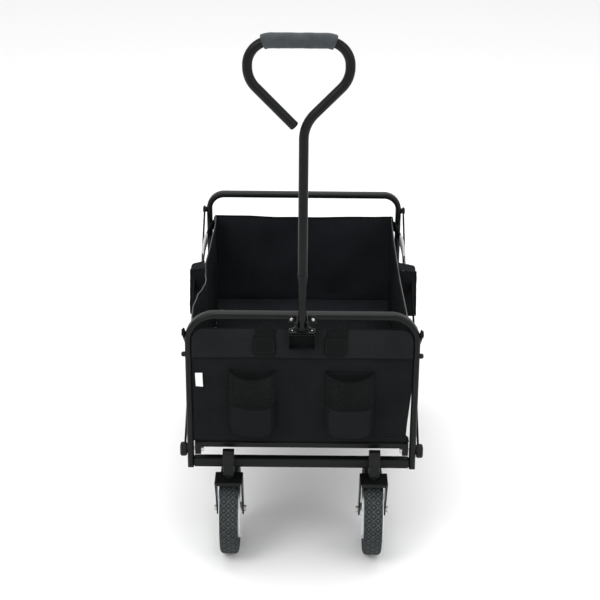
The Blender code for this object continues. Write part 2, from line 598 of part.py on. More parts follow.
def make_handle():
    x, y = HANDLE_X, HANDLE_Y
    post_bottom, post_top = HANDLE_PIVOT_Z - 0.0098, 0.955
    post = rod((x, y, (post_bottom + post_top) / 2), "Z", POST_RADIUS, post_top - post_bottom, 24)
    pin = rod((x, y, HANDLE_PIVOT_Z), "X", 0.0030, 0.034)
    make_node("handle_post", [post, pin], POWDER_COAT, (x, y, HANDLE_PIVOT_Z))

    right, left = LOOP_CENTRE_X + LOOP_HALF_WIDE, LOOP_CENTRE_X - LOOP_HALF_WIDE
    slope = (LOOP_SHOULDER - LOOP_NECK) / (right - x)
    free_x = x - 0.020
    corners = [(x, COLLAR_BOTTOM + 0.004), (x, LOOP_NECK), (right, LOOP_SHOULDER), (right, LOOP_TOP),
               (left, LOOP_TOP), (left, LOOP_SHOULDER), (free_x, LOOP_SHOULDER - slope * (free_x - left))]
    path = rounded_path(corners, (0.030, 0.036, 0.050, 0.044, 0.036), 7)
    tube = sweep([(p.x, y, p.y) for p in path], circle(UPPER_RADIUS, 14), (0, 1, 0))
    bore = rod((x, y, 0.816), "Z", UPPER_BORE, 0.300, 24)
    make_node("handle_loop", [tube], POWDER_COAT, (x, y, COLLAR_BOTTOM), [bore])

    collar_tall, button_z = COLLAR_TOP - COLLAR_BOTTOM, (COLLAR_BOTTOM + COLLAR_TOP) / 2
    collar = rod((x, y, button_z), "Z", COLLAR_RADIUS, collar_tall, 24)
    boss = rod((x, y + 0.0120, button_z), "Y", BUTTON_RADIUS + 0.0023, 0.0060, 20)
    sleeve_cut = rod((x, y, COLLAR_TOP), "Z", UPPER_RADIUS + GAP, 2 * collar_tall - 0.008, 24)
    post_cut = rod((x, y, COLLAR_BOTTOM), "Z", UPPER_BORE, 0.030, 24)
    button_cut = rod((x, y + 0.0140, button_z), "Y", BUTTON_RADIUS + GAP, 0.0066, 16)
    make_node("handle_collar", [collar, boss], BLACK_PLASTIC, (x, y, COLLAR_BOTTOM),
              [sleeve_cut, post_cut, button_cut])
    button_long = 0.0046
    button = rod((x, y + BUTTON_HEAD_Y - button_long / 2, button_z), "Y", BUTTON_RADIUS, button_long, 16)
    make_node("release_button", [button], BLACK_PLASTIC, (x, y + BUTTON_HEAD_Y, button_z))

    top_path = [(p.x, y, p.y) for p in path if p.y > LOOP_TOP - 0.010]
    grip = sweep(top_path, circle(GRIP_RADIUS, 16), (0, 1, 0))
    grip_bore = sweep([path_end(top_path, 0, 0.01)] + top_path + [path_end(top_path, -1, 0.01)],
                      circle(UPPER_RADIUS + GAP * 2, 14), (0, 1, 0))
    make_node("handle_grip", [grip], GRIP_FOAM, (x, y, LOOP_TOP), [grip_bore])


def path_end(path, end, extra):
    """A point past one end of a path, along the way the path runs there."""
    last = Vector(path[end])
    inner = Vector(path[1 if end == 0 else -2])
    return last + (last - inner).normalized() * extra


def main():
    clear_scene()
    make_hoop("front_hoop", FRONT_Y, FRONT_BEND)
    make_hoop("rear_hoop", REAR_Y, REAR_BEND)
    make_crossbar("front_crossbar", FRONT_Y, -1)
    make_crossbar("rear_crossbar", REAR_Y, 1)
    make_running_gear()
    make_floor()
    make_scissors()
    make_end_panels()
    make_side_panels()
    make_handle_bracket()
    make_handle()


main()
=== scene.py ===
"""Looks of the folding wagon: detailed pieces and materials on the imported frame."""
import json
import math

import bmesh
import bpy
from mathutils import Matrix, Vector, noise

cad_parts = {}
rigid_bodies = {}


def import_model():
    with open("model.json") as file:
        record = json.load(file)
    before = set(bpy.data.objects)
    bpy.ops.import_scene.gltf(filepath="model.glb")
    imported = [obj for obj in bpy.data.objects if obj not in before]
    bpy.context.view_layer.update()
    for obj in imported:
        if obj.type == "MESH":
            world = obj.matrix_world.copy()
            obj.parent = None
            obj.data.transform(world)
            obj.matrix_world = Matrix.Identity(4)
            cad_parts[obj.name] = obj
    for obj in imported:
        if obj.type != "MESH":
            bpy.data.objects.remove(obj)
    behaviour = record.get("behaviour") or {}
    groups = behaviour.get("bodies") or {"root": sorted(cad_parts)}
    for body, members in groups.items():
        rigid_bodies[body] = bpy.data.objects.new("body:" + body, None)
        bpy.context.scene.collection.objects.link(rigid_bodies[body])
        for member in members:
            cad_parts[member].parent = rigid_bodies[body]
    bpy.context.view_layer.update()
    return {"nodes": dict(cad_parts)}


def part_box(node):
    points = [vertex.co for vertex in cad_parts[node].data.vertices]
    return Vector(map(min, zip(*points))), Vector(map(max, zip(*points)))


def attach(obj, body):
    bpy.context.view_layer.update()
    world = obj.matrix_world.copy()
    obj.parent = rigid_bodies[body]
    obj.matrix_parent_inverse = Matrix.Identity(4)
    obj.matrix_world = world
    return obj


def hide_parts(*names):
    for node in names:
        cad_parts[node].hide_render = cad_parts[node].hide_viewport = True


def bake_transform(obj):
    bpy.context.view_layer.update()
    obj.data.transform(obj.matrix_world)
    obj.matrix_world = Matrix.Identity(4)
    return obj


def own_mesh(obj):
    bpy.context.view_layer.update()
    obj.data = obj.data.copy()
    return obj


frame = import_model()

SIDES = (("left", -1), ("right", 1))


def middle(node):
    low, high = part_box(node)
    return (low + high) / 2


# Places read from the frame
FRONT_Y = middle("front_hoop").y
REAR_Y = middle("rear_hoop").y
CENTRE_Y = (FRONT_Y + REAR_Y) / 2
HOOP_LOW, HOOP_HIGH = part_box("front_hoop")
HOOP_TOP = HOOP_HIGH.z
LEG_BOTTOM = HOOP_LOW.z
HALF_WIDTH = HOOP_HIGH.x
TUBE_DEEP = HOOP_HIGH.y - HOOP_LOW.y
TUBE_WIDE = 0.014
FLOOR_PIVOT_Z = 0.268


# ---- camera, floor and light ----

CAMERA_LENS = 89.3
CAMERA_DOWN = 23.83
CAMERA_YAW, CAMERA_ROLL = 0.0030, 0.0081
CAMERA_X, CAMERA_Z = 0.0025, 1.8867
CAMERA_AWAY = 2.8434

def make_camera():
    """From the front, 24 degrees down, rolled by half a degree."""
    lens_camera = bpy.data.cameras.new("camera")
    lens_camera.sensor_width = 36
    lens_camera.lens = CAMERA_LENS
    camera = bpy.data.objects.new("camera", lens_camera)
    bpy.context.collection.objects.link(camera)
    pitch, yaw, roll = math.radians(90 - CAMERA_DOWN), CAMERA_YAW, CAMERA_ROLL
    place = Vector((CAMERA_X, FRONT_Y - TUBE_DEEP / 2 - CAMERA_AWAY, CAMERA_Z))
    camera.matrix_world = (Matrix.Translation(place) @ Matrix.Rotation(yaw, 4, "Z")
                           @ Matrix.Rotation(pitch, 4, "X") @ Matrix.Rotation(roll, 4, "Z"))
    bpy.context.scene.camera = camera


def make_light(name, place, target, size, power):
    lamp = bpy.data.lights.new(name, "AREA")
    lamp.shape = "DISK"
    lamp.size = size
    lamp.energy = power
    light = bpy.data.objects.new(name, lamp)
    bpy.context.collection.objects.link(light)
    light.location = place
    light.rotation_euler = (Vector(target) - Vector(place)).to_track_quat("-Z", "Y").to_euler()


def make_studio():
    world = bpy.data.worlds.new("studio")
    bpy.context.scene.world = world
    world.use_nodes = True
    world.node_tree.nodes["Background"].inputs["Color"].default_value = (1.0, 1.0, 1.0, 1.0)
    world.node_tree.nodes["Background"].inputs["Strength"].default_value = 0.92
    make_light("key", (-2.2, -2.6, 3.4), (0, 0, 0.5), 2.2, 60)
    make_light("fill", (2.6, -2.4, 2.2), (0, 0, 0.4), 2.6, 26)
    make_light("top", (0.0, 0.4, 3.8), (0, 0, 0.3), 2.4, 60)
    bpy.context.scene.view_settings.view_transform = "Standard"
    floor_mesh = bpy.data.meshes.new("studio_floor")
    reach = 40.0
    floor_mesh.from_pydata([(-reach, -reach, 0), (reach, -reach, 0), (reach, reach, 0), (-reach, reach, 0)],
                           [], [(0, 1, 2, 3)])
    floor = bpy.data.objects.new("studio_floor", floor_mesh)
    bpy.context.collection.objects.link(floor)
    paper = bpy.data.materials.new("studio_paper")
    paper.use_nodes = True
    shader = paper.node_tree.nodes["Principled BSDF"]
    shader.inputs["Base Color"].default_value = (0.93, 0.93, 0.93, 1.0)
    shader.inputs["Roughness"].default_value = 0.9
    shader.inputs["Specular IOR Level"].default_value = 0.1
    floor_mesh.materials.append(paper)


# ---- materials ----

class Shader:
    """A Principled material with short calls for its procedural nodes."""

    def __init__(self, name, roughness, metallic=0.0, specular=0.5, sheen=0.0):
        self.material = bpy.data.materials.new(name)
        self.material.use_nodes = True
        self.tree = self.material.node_tree
        self.principled = self.tree.nodes["Principled BSDF"]
        self.principled.inputs["Roughness"].default_value = roughness
        self.principled.inputs["Metallic"].default_value = metallic
        self.principled.inputs["Specular IOR Level"].default_value = specular
        self.principled.inputs["Sheen Weight"].default_value = sheen
        self.principled.inputs["Sheen Roughness"].default_value = 0.5
        self.place = self.tree.nodes.new("ShaderNodeTexCoord").outputs["Object"]

    def link(self, output, target):
        self.tree.links.new(output, target)

    def noise(self, scale, detail=3.0, rough=0.5, stretch=(1, 1, 1)):
        mapping = self.tree.nodes.new("ShaderNodeMapping")
        mapping.inputs["Scale"].default_value = stretch
        self.link(self.place, mapping.inputs["Vector"])
        texture = self.tree.nodes.new("ShaderNodeTexNoise")
        texture.inputs["Scale"].default_value = scale
        texture.inputs["Detail"].default_value = detail
        texture.inputs["Roughness"].default_value = rough
        self.link(mapping.outputs["Vector"], texture.inputs["Vector"])
        return texture.outputs["Fac"]

    def wave(self, direction, period, distortion=0.0):
        texture = self.tree.nodes.new("ShaderNodeTexWave")
        texture.bands_direction = direction
        texture.inputs["Scale"].default_value = 0.314 / period
        texture.inputs["Distortion"].default_value = distortion
        texture.inputs["Detail"].default_value = 0.0
        self.link(self.place, texture.inputs["Vector"])
        return texture.outputs["Fac"]

    def math(self, operation, first, second):
        node = self.tree.nodes.new("ShaderNodeMath")
        node.operation = operation
        for socket, value in zip(node.inputs, (first, second)):
            if isinstance(value, (int, float)):
                socket.default_value = value
            else:
                self.link(value, socket)
        return node.outputs["Value"]

    def ramp(self, factor, stops):
        node = self.tree.nodes.new("ShaderNodeValToRGB")
        while len(node.color_ramp.elements) < len(stops):
            node.color_ramp.elements.new(0.5)
        for element, (position, colour) in zip(node.color_ramp.elements, stops):
            element.position = position
            element.color = (*colour, 1.0) if len(colour) == 3 else colour
        self.link(factor, node.inputs["Fac"])
        return node.outputs["Color"]

    def colour(self, output):
        self.link(output, self.principled.inputs["Base Color"])

    def roughness(self, factor, low, high):
        node = self.tree.nodes.new("ShaderNodeMapRange")
        node.inputs["To Min"].default_value = low
        node.inputs["To Max"].default_value = high
        self.link(factor, node.inputs["Value"])
        self.link(node.outputs["Result"], self.principled.inputs["Roughness"])

    def bump(self, height, distance, strength=1.0):
        node = self.tree.nodes.new("ShaderNodeBump")
        node.inputs["Distance"].default_value = distance
        node.inputs["Strength"].default_value = strength
        self.link(height, node.inputs["Height"])
        previous = self.principled.inputs["Normal"].links
        if previous:
            self.link(previous[0].from_socket, node.inputs["Normal"])
        self.link(node.outputs["Normal"], self.principled.inputs["Normal"])


def coated(name, cloud, spread, dark, light, gloss, grain, gloss_noise=None, metallic=0.0, specular=0.5):
    """A hard finish: cloudy colour, cloudy gloss, and a fine grain (noise settings, then its bump)."""
    made = Shader(name, gloss[0], metallic, specular)
    patches = made.noise(*cloud)
    made.colour(made.ramp(patches, list(zip(spread, (dark, light)))))
    made.roughness(made.noise(*gloss_noise) if gloss_noise else patches, *gloss)
    made.bump(made.noise(*grain[:-2]), *grain[-2:])
    return made.material


def tyre_rubber(name, shade):
    """Dark grey foam rubber with a cloudy tone; shade scales its colour, and the brighter copy (shade 3.2)
    on the tread's raised faces is a painted highlight.
    """
    dark = tuple(shade * c for c in (0.0105, 0.0122, 0.0130))
    light = tuple(shade * c for c in (0.0185, 0.0215, 0.0228))
    return coated(name, (26.0, 5.0, 0.6), (0.3, 0.72), dark, light, (0.6, 0.82),
                  (700.0, 3.0, 0.00012, 0.6), specular=0.22)


def grip_foam():
    """Slate grey closed-cell foam: open pores and soft blotches."""
    made = Shader("grip_foam", 0.9, specular=0.25, sheen=0.15)
    blotch = made.noise(45.0, 4.0)
    made.colour(made.ramp(blotch, [(0.3, (0.029, 0.034, 0.037)), (0.7, (0.045, 0.052, 0.056))]))
    pores = made.tree.nodes.new("ShaderNodeTexVoronoi")
    pores.inputs["Scale"].default_value = 900.0
    made.link(made.place, pores.inputs["Vector"])
    made.bump(pores.outputs["Distance"], 0.0003, 0.55)
    made.bump(made.noise(160.0, 3.0), 0.0004, 0.4)
    return made.material


def woven(name, dark, light, pitch=0.0009, across="X"):
    """Coated polyester: a plain weave, slubs in the yarn, and cloudy wear."""
    made = Shader(name, 0.86, specular=0.06)
    warp = made.wave(across, pitch)
    weft = made.wave("Z", pitch)
    weave = made.math("MULTIPLY", warp, weft)
    cloud = made.noise(7.0, 5.0, 0.6)
    slub = made.noise(500.0, 2.0, stretch=(1, 1, 0.06))
    tone = made.math("ADD", made.math("MULTIPLY", cloud, 0.75), made.math("MULTIPLY", slub, 0.25))
    shade = made.math("ADD", made.math("MULTIPLY", tone, 0.8), made.math("MULTIPLY", weave, 0.2))
    made.colour(made.ramp(shade, [(0.25, dark), (0.68, light)]))
    made.roughness(cloud, 0.78, 0.92)
    made.bump(weave, 0.00018, 0.7)
    made.bump(slub, 0.00015, 0.4)
    return made.material


def webbing(name, dark, light, pitch=0.0022):
    """Ribbed narrow webbing."""
    made = Shader(name, 0.8, specular=0.08)
    rib = made.wave("DIAGONAL", pitch)
    fibre = made.noise(900.0, 2.0)
    tone = made.math("ADD", made.math("MULTIPLY", rib, 0.6), made.math("MULTIPLY", fibre, 0.4))
    made.colour(made.ramp(tone, [(0.25, dark), (0.75, light)]))
    made.bump(rib, 0.0003, 0.7)
    made.bump(fibre, 0.0001, 0.5)
    return made.material


def plain_trim(name, dark, light, roughness=0.6):
    """A thin plain trim such as piping or a label, slightly mottled."""
    made = Shader(name, roughness, specular=0.4)
    grain = made.noise(420.0, 3.0)
    made.colour(made.ramp(grain, [(0.35, dark), (0.65, light)]))
    made.bump(grain, 0.00008, 0.5)
    return made.material


def make_materials():
    cloth_dark, cloth_light = (0.0044, 0.0049, 0.0055), (0.0118, 0.0128, 0.0138)
    return {
        "powder": coated("powder_coat", (9.0, 4.0), (0.3, 0.7), (0.0028, 0.0032, 0.0033),
                         (0.0046, 0.0052, 0.0053), (0.30, 0.42), (1400.0, 2.0, 0.00006, 0.6),
                         gloss_noise=(60.0, 2.0), specular=0.16),
        "plastic": coated("moulded_black", (14.0,), (0.35, 0.65), (0.003, 0.003, 0.0034),
                          (0.005, 0.005, 0.0055), (0.36, 0.54), (2200.0, 1.0, 0.00005, 0.5),
                          gloss_noise=(240.0, 2.0), specular=0.18),
        "bar": coated("dull_black", (12.0, 4.0), (0.3, 0.7), (0.0060, 0.0066, 0.0068),
                      (0.0095, 0.0102, 0.0105), (0.62, 0.78), (1400.0, 2.0, 0.00006, 0.6),
                      gloss_noise=(80.0, 2.0), specular=0.04),
        "steel": coated("bright_steel", (180.0, 4.0), (0.35, 0.6), (0.46, 0.46, 0.45), (0.66, 0.66, 0.64),
                        (0.2, 0.42), (900.0, 2.0, 0.5, (1, 0.1, 1), 0.00005, 0.5), metallic=1.0),
        "tyre": tyre_rubber("tyre_rubber", 1.0),
        # a 3.2× brighter copy of the tyre rubber: painted highlight on the tread's raised faces
        "tread": tyre_rubber("tread_rubber_painted_highlight", 3.2),
        "hub": coated("hub_grey", (35.0, 5.0), (0.25, 0.6), (0.60, 0.62, 0.63), (0.76, 0.78, 0.79),
                      (0.34, 0.52), (1500.0, 1.0, 0.00004, 0.5)),
        "foam": grip_foam(),
        "cloth_x": woven("coated_weave_across", cloth_dark, cloth_light, across="X"),
        "cloth_y": woven("coated_weave_along", cloth_dark, cloth_light, across="Y"),
        "lining": woven("lining_weave", (0.0085, 0.0092, 0.0112), (0.0195, 0.0210, 0.0250), 0.0012),
        "band": woven("hem_weave", (0.0068, 0.0074, 0.0080), (0.0165, 0.0178, 0.0190), 0.0011),
        "net": webbing("net_yarn", (0.0130, 0.0138, 0.0140), (0.0260, 0.0275, 0.0280), 0.0009),
        "web": webbing("black_webbing", (0.0028, 0.0031, 0.0032), (0.0062, 0.0067, 0.0069)),
        "piping": plain_trim("grey_piping", (0.045, 0.047, 0.049), (0.078, 0.081, 0.084), 0.8),
        "pale_grip": plain_trim("pale_grip", (0.30, 0.31, 0.32), (0.42, 0.43, 0.44), 0.5),
        "label": plain_trim("care_label", (0.70, 0.71, 0.72), (0.80, 0.81, 0.82), 0.7),
        "thread": plain_trim("thread", (0.008, 0.0085, 0.009), (0.014, 0.0145, 0.0155), 0.8),
    }


# ---- mesh helpers ----

def add_mesh(name, shape, material, sharp=35):
    """Finishes a bmesh as an object; material is a key of MATERIALS."""
    bmesh.ops.recalc_face_normals(shape, faces=shape.faces)
    mesh = bpy.data.meshes.new(name)
    shape.to_mesh(mesh)
    shape.free()
    mesh.materials.append(MATERIALS[material])
    mesh.shade_smooth()
    mesh.set_sharp_from_angle(angle=math.radians(sharp))
    made = bpy.data.objects.new(name, mesh)
    bpy.context.collection.objects.link(made)
    return made


def applied(made):
    """Turns what the modifiers show into the piece's own mesh."""
    bpy.context.view_layer.update()
    evaluated = made.evaluated_get(bpy.context.evaluated_depsgraph_get())
    final = bpy.data.meshes.new_from_object(evaluated)
    made.modifiers.clear()
    made.data = final
    return made


def join_rings(shape, rings):
    count = len(rings[0])
    for first, second in zip(rings, rings[1:]):
        for i in range(count):
            j = (i + 1) % count
            shape.faces.new((first[i], first[j], second[j], second[i]))


def cap_ends(shape, rings):
    shape.faces.new(rings[0])
    shape.faces.new(rings[-1])


def add_rings(name, rings, material, sharp=35, closed=False, bevel=0.0):
    """One skin through rings of points, capped at its ends or closed into a loop."""
    shape = bmesh.new()
    rings = [[shape.verts.new(point) for point in ring] for ring in rings]
    if closed:
        join_rings(shape, rings + rings[:1])
        bmesh.ops.remove_doubles(shape, verts=shape.verts, dist=1e-7)
    else:
        join_rings(shape, rings)
        cap_ends(shape, rings)
    if bevel:
        bmesh.ops.bevel(shape, geom=shape.edges[:], offset=bevel, segments=2, profile=0.5, affect="EDGES")
    return add_mesh(name, shape, material, sharp)


def arc(centre, radius, start, end, steps):
    angles = [math.radians(start + (end - start) * i / steps) for i in range(steps + 1)]
    return [(centre[0] + radius * math.cos(a), centre[1] + radius * math.sin(a)) for a in angles]


def circle(radius, segments=24):
    return arc((0, 0), radius, 0, 360 * (segments - 1) / segments, segments - 1)


def rounded_rectangle(wide, deep, corner, steps=5):
    outline = []
    for cx, cy, start in ((1, 1, 0), (-1, 1, 90), (-1, -1, 180), (1, -1, 270)):
        centre = (cx * (wide / 2 - corner), cy * (deep / 2 - corner))
        outline += arc(centre, corner, start, start + 90, steps)
    return outline


def rounded_path(corners, radii, steps=22):
    """A 2D path through corners, with each inner corner rounded by its radius."""
    path = [Vector(corners[0])]
    for before, here, after, radius in zip(corners, corners[1:], corners[2:], radii):
        here = Vector(here)
        back = (Vector(before) - here).normalized()
        ahead = (Vector(after) - here).normalized()
        half = back.angle(ahead) / 2
        centre = here + (back + ahead).normalized() * radius / math.sin(half)
        start = here + back * radius / math.tan(half) - centre
        turn = start.angle_signed(here + ahead * radius / math.tan(half) - centre)
        for i in range(steps + 1):
            path.append(centre + Matrix.Rotation(-turn * i / steps, 2) @ start)
    path.append(Vector(corners[-1]))
    return path


def heading(points, i):
    """The direction of a path at its point i."""
    return (points[min(i + 1, len(points) - 1)] - points[max(i - 1, 0)]).normalized()


def add_sweep(name, path, profile, side, material, sizes=None):
    """Carries a profile down a flat path; sizes scale it at each point."""
    side = Vector(side)
    points = [Vector(p) for p in path]
    rings = []
    for i, point in enumerate(points):
        across = side.cross(heading(points, i))
        size = sizes[i] if sizes else 1.0
        rings.append([point + (across * u + side * v) * size for u, v in profile])
    return add_rings(name, rings, material)


def add_pipe(name, path, radius, material, segments=10):
    """A round cord of cloth or wire down any path."""
    points = [Vector(p) for p in path]
    rings = []
    normal = None
    for i, point in enumerate(points):
        ahead = heading(points, i)
        if normal is None:
            normal = ahead.orthogonal().normalized()
        normal = (normal - ahead * normal.dot(ahead)).normalized()
        other = ahead.cross(normal)
        rings.append([point + normal * u + other * v for u, v in circle(radius, segments)])
    return add_rings(name, rings, material)


def add_turned(name, profile, centre, material, axis="X", segments=96, sharp=35):
    """Turns a closed (along, radius) profile about an axis through centre."""
    place = {"X": lambda a, b, c: Vector((a, b, c)), "Y": lambda a, b, c: Vector((b, a, c)),
             "Z": lambda a, b, c: Vector((b, c, a))}[axis]
    rings = []
    for k in range(segments):
        angle = 2 * math.pi * k / segments
        rings.append([Vector(centre) + place(x, r * math.cos(angle), r * math.sin(angle))
                      for x, r in profile])
    return add_rings(name, rings, material, sharp, closed=True)


def add_block(name, low, high, bevel, material, segments=3):
    shape = bmesh.new()
    bmesh.ops.create_cube(shape, size=1.0)
    low, high = Vector(low), Vector(high)
    bmesh.ops.scale(shape, vec=high - low, verts=shape.verts)
    bmesh.ops.translate(shape, vec=(low + high) / 2, verts=shape.verts)
    bmesh.ops.bevel(shape, geom=shape.edges[:], offset=bevel, segments=segments, profile=0.5,
                    affect="EDGES", clamp_overlap=True)
    return add_mesh(name, shape, material)


def add_cloth(name, place, across, down, thickness, material):
    """A sheet from place(u, v), u and v from 0 to 1, given its thickness."""
    shape = bmesh.new()
    grid = [[shape.verts.new(place(i / across, j / down)) for j in range(down + 1)]
            for i in range(across + 1)]
    for i in range(across):
        for j in range(down):
            shape.faces.new((grid[i][j], grid[i + 1][j], grid[i + 1][j + 1], grid[i][j + 1]))
    made = add_mesh(name, shape, material, 180)
    solid = made.modifiers.new("thickness", "SOLIDIFY")
    solid.thickness = thickness
    solid.offset = 0.0
    return applied(made)


def inflate(padded, held, pressure=4.0, frames=20, cap=0.0026):
    """Padding swells its cover: a short cloth simulation held along the seams, then one subdivision."""
    rest = [v.co.copy() for v in padded.data.vertices]
    pins = padded.vertex_groups.new(name="held")
    pins.add([v.index for v in padded.data.vertices if held(v.co)], 1.0, "REPLACE")
    cloth = padded.modifiers.new("cloth", "CLOTH")
    cloth.settings.vertex_group_mass = "held"
    cloth.settings.quality = 5
    cloth.settings.mass = 0.2
    cloth.settings.tension_stiffness = 15
    cloth.settings.compression_stiffness = 15
    cloth.settings.bending_stiffness = 0.5
    cloth.settings.use_pressure = True
    cloth.settings.uniform_pressure_force = pressure
    cloth.settings.effector_weights.gravity = 0.0
    scene = bpy.context.scene
    for step in range(1, frames + 1):
        scene.frame_set(step)
    evaluated = padded.evaluated_get(bpy.context.evaluated_depsgraph_get())
    moved = [v.co.copy() for v in evaluated.data.vertices]
    padded.modifiers.clear()
    padded.vertex_groups.clear()
    for vertex, start, end in zip(padded.data.vertices, rest, moved):
        shift = end - start
        if shift.length > 1e-7:
            vertex.co = start + shift.normalized() * cap * math.tanh(shift.length / cap)
    scene.frame_set(1)
    smooth = padded.modifiers.new("smooth", "SUBSURF")
    smooth.levels = 1
    return applied(padded)


def wrinkle(point, size, height, seed=0.0):
    """A smooth ripple, the same on every run."""
    return height * noise.noise(Vector(point) / size + Vector((seed, seed * 1.7, seed * 0.6)))


def keep(made, body, slot, *nodes):
    """Rides on a body and stands for CAD nodes, hiding them; slot is not used."""
    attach(made, body)
    if nodes:
        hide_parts(*nodes)
    return made


# ---- frame tubes ----

def make_hoop(end, y, bend):
    """The bent flat-oval tube, with faint pinch wrinkles inside its bends and plugs in its feet."""
    leg_x = HALF_WIDTH - TUBE_WIDE / 2
    top = HOOP_TOP - TUBE_WIDE / 2
    corners = [(-leg_x, LEG_BOTTOM), (-leg_x, top), (leg_x, top), (leg_x, LEG_BOTTOM)]
    path = rounded_path(corners, (bend, bend), 26)
    outline = rounded_rectangle(TUBE_WIDE, TUBE_DEEP, 0.0062, 6)
    rings = []
    points = [Vector((p.x, y, p.y)) for p in path]
    points[0:1] = [points[0], points[0] + Vector((0, 0, 0.0015))]
    points[-1:] = [points[-1] + Vector((0, 0, 0.0015)), points[-1]]
    for i, point in enumerate(points):
        ahead = heading(points, i)
        across = Vector((0, 1, 0)).cross(ahead)
        bending = abs(ahead.x * ahead.z) * 2
        ripple = 0.00035 * bending * math.sin(i * 1.9)
        rings.append([point + across * (u - (ripple if u < 0 else 0))
                      + Vector((0, v * (1 + 0.012 * bending), 0)) for u, v in outline])
    hoop = add_rings(f"{end}_hoop_tube", rings, "powder", 50)
    keep(hoop, f"{end}_frame", "powder_coat", f"{end}_hoop")
    for side_name, side in SIDES:
        plug = add_block(f"{end}_leg_plug_{side_name}",
                         (side * leg_x - 0.0066, y - 0.0118, LEG_BOTTOM - 0.0012),
                         (side * leg_x + 0.0066, y + 0.0118, LEG_BOTTOM + 0.0030), 0.0012, "plastic")
        keep(plug, f"{end}_frame", "black_plastic")


def make_tubes():
    make_hoop("front", FRONT_Y, 0.058)
    make_hoop("rear", REAR_Y, 0.038)


# ---- fasteners ----

def make_head(name, place, axis, radius, height, material, body, slot, recess=True):
    """A pan head, with a cross recess cut by real faces, or a plain domed rivet."""
    axis = Vector(axis)
    other = axis.orthogonal().normalized()
    third = axis.cross(other)
    count = 32

    def ring(reach, rise):
        spots = []
        for k in range(count):
            angle = 2 * math.pi * k / count
            out = reach(k) if callable(reach) else reach
            spots.append(Vector(place) + axis * height * rise
                         + (other * math.cos(angle) + third * math.sin(angle)) * radius * out)
        return spots

    def cross(wide, narrow):
        return lambda k: wide if k % 8 in (0, 1, 7) else narrow

    rings = [ring(share, rise) for share, rise in ((1.0, -0.3), (1.0, 0.35), (0.93, 0.7), (0.78, 0.9))]
    if recess:
        rings += [ring(cross(0.56, 0.24), 1.0), ring(cross(0.46, 0.16), 0.45)]
    else:
        rings += [ring(0.5, 0.98), ring(0.2, 1.0)]
    return keep(add_rings(name, rings, material, 40), body, slot)


# ---- pull handle ----

LOOP_SHOULDER = 1.1085
LOOP_NECK = 1.0168
GRIP_RADIUS = 0.0152


def make_handle():
    post_low, post_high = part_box("handle_post")
    x, y = middle("release_button").x, (post_low.y + post_high.y) / 2
    loop_low, loop_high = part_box("handle_loop")
    radius = (loop_high.y - loop_low.y) / 2
    collar_low, collar_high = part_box("handle_collar")
    right, left = loop_high.x - radius, loop_low.x + radius
    top, shoulder, neck = loop_high.z - radius, LOOP_SHOULDER, LOOP_NECK
    free_x = x - 0.020
    slope = (shoulder - neck) / (right - x)
    corners = [(x, collar_high.z - 0.004), (x, neck), (right, shoulder), (right, top), (left, top),
               (left, shoulder), (free_x, shoulder - slope * (free_x - left))]
    path = rounded_path(corners, (0.075, 0.058, 0.048, 0.048, 0.058), 24)
    tube = add_sweep("handle_loop_tube", [(p.x, y, p.y) for p in path], circle(radius, 32), (0, 1, 0),
                     "powder")
    keep(tube, "handle_upper", "powder_coat", "handle_loop")
    make_loop_end(path, y, radius)
    make_collar(x, y, radius, collar_low.z, collar_high.z)
    make_grip([p for p in path if p.y > top - 0.0045], y)


def make_loop_end(path, y, radius):
    """The open end of the loop is closed by a slightly domed plastic plug."""
    end, before = path[-1], path[-2]
    along = (end - before).normalized()
    point = Vector((end.x, y, end.y))
    ahead = Vector((along.x, 0, along.y))
    steps = [(-0.004, 0.90), (0.0, 0.90), (0.0002, 1.0), (0.0016, 0.99), (0.0028, 0.90), (0.0036, 0.72),
             (0.0041, 0.45), (0.0043, 0.15)]
    plug = add_sweep("handle_loop_plug", [point + ahead * rise for rise, _ in steps], circle(radius, 32),
                     (0, 1, 0), "plastic", [share for _, share in steps])
    keep(plug, "handle_upper", "black_plastic")


def make_collar(x, y, radius, bottom, top):
    """A moulded sleeve that narrows from the loop's tube to the post."""
    wide, narrow = radius + 0.0004, 0.0092
    profile = [(0.0, 0.0087), (0.0, narrow - 0.0003), (0.0006, narrow), (0.004, narrow + 0.0002),
               (0.012, (wide + narrow) / 2 + 0.0002), (0.019, wide), (0.0238, wide + 0.0001),
               (0.0245, wide - 0.0003), (0.0245, 0.0087)]
    scale = (top - bottom + 0.001) / 0.0245
    sleeve = add_turned("handle_collar_sleeve", [(a * scale, r) for a, r in profile],
                        (x, y, bottom - 0.0005), "powder", "Z", 64)
    boss = [(radius - 0.001, 0.0050), (0.0140, 0.0050), (0.0148, 0.0053), (0.0148, 0.0060),
            (0.0140, 0.0066), (radius - 0.001, 0.0068)]
    ring = add_turned("release_button_ring", boss, (x, y, (bottom + top) / 2), "plastic", "Y", 48)
    keep(sleeve, "handle_upper", "black_plastic", "handle_collar")
    keep(ring, "handle_upper", "black_plastic")


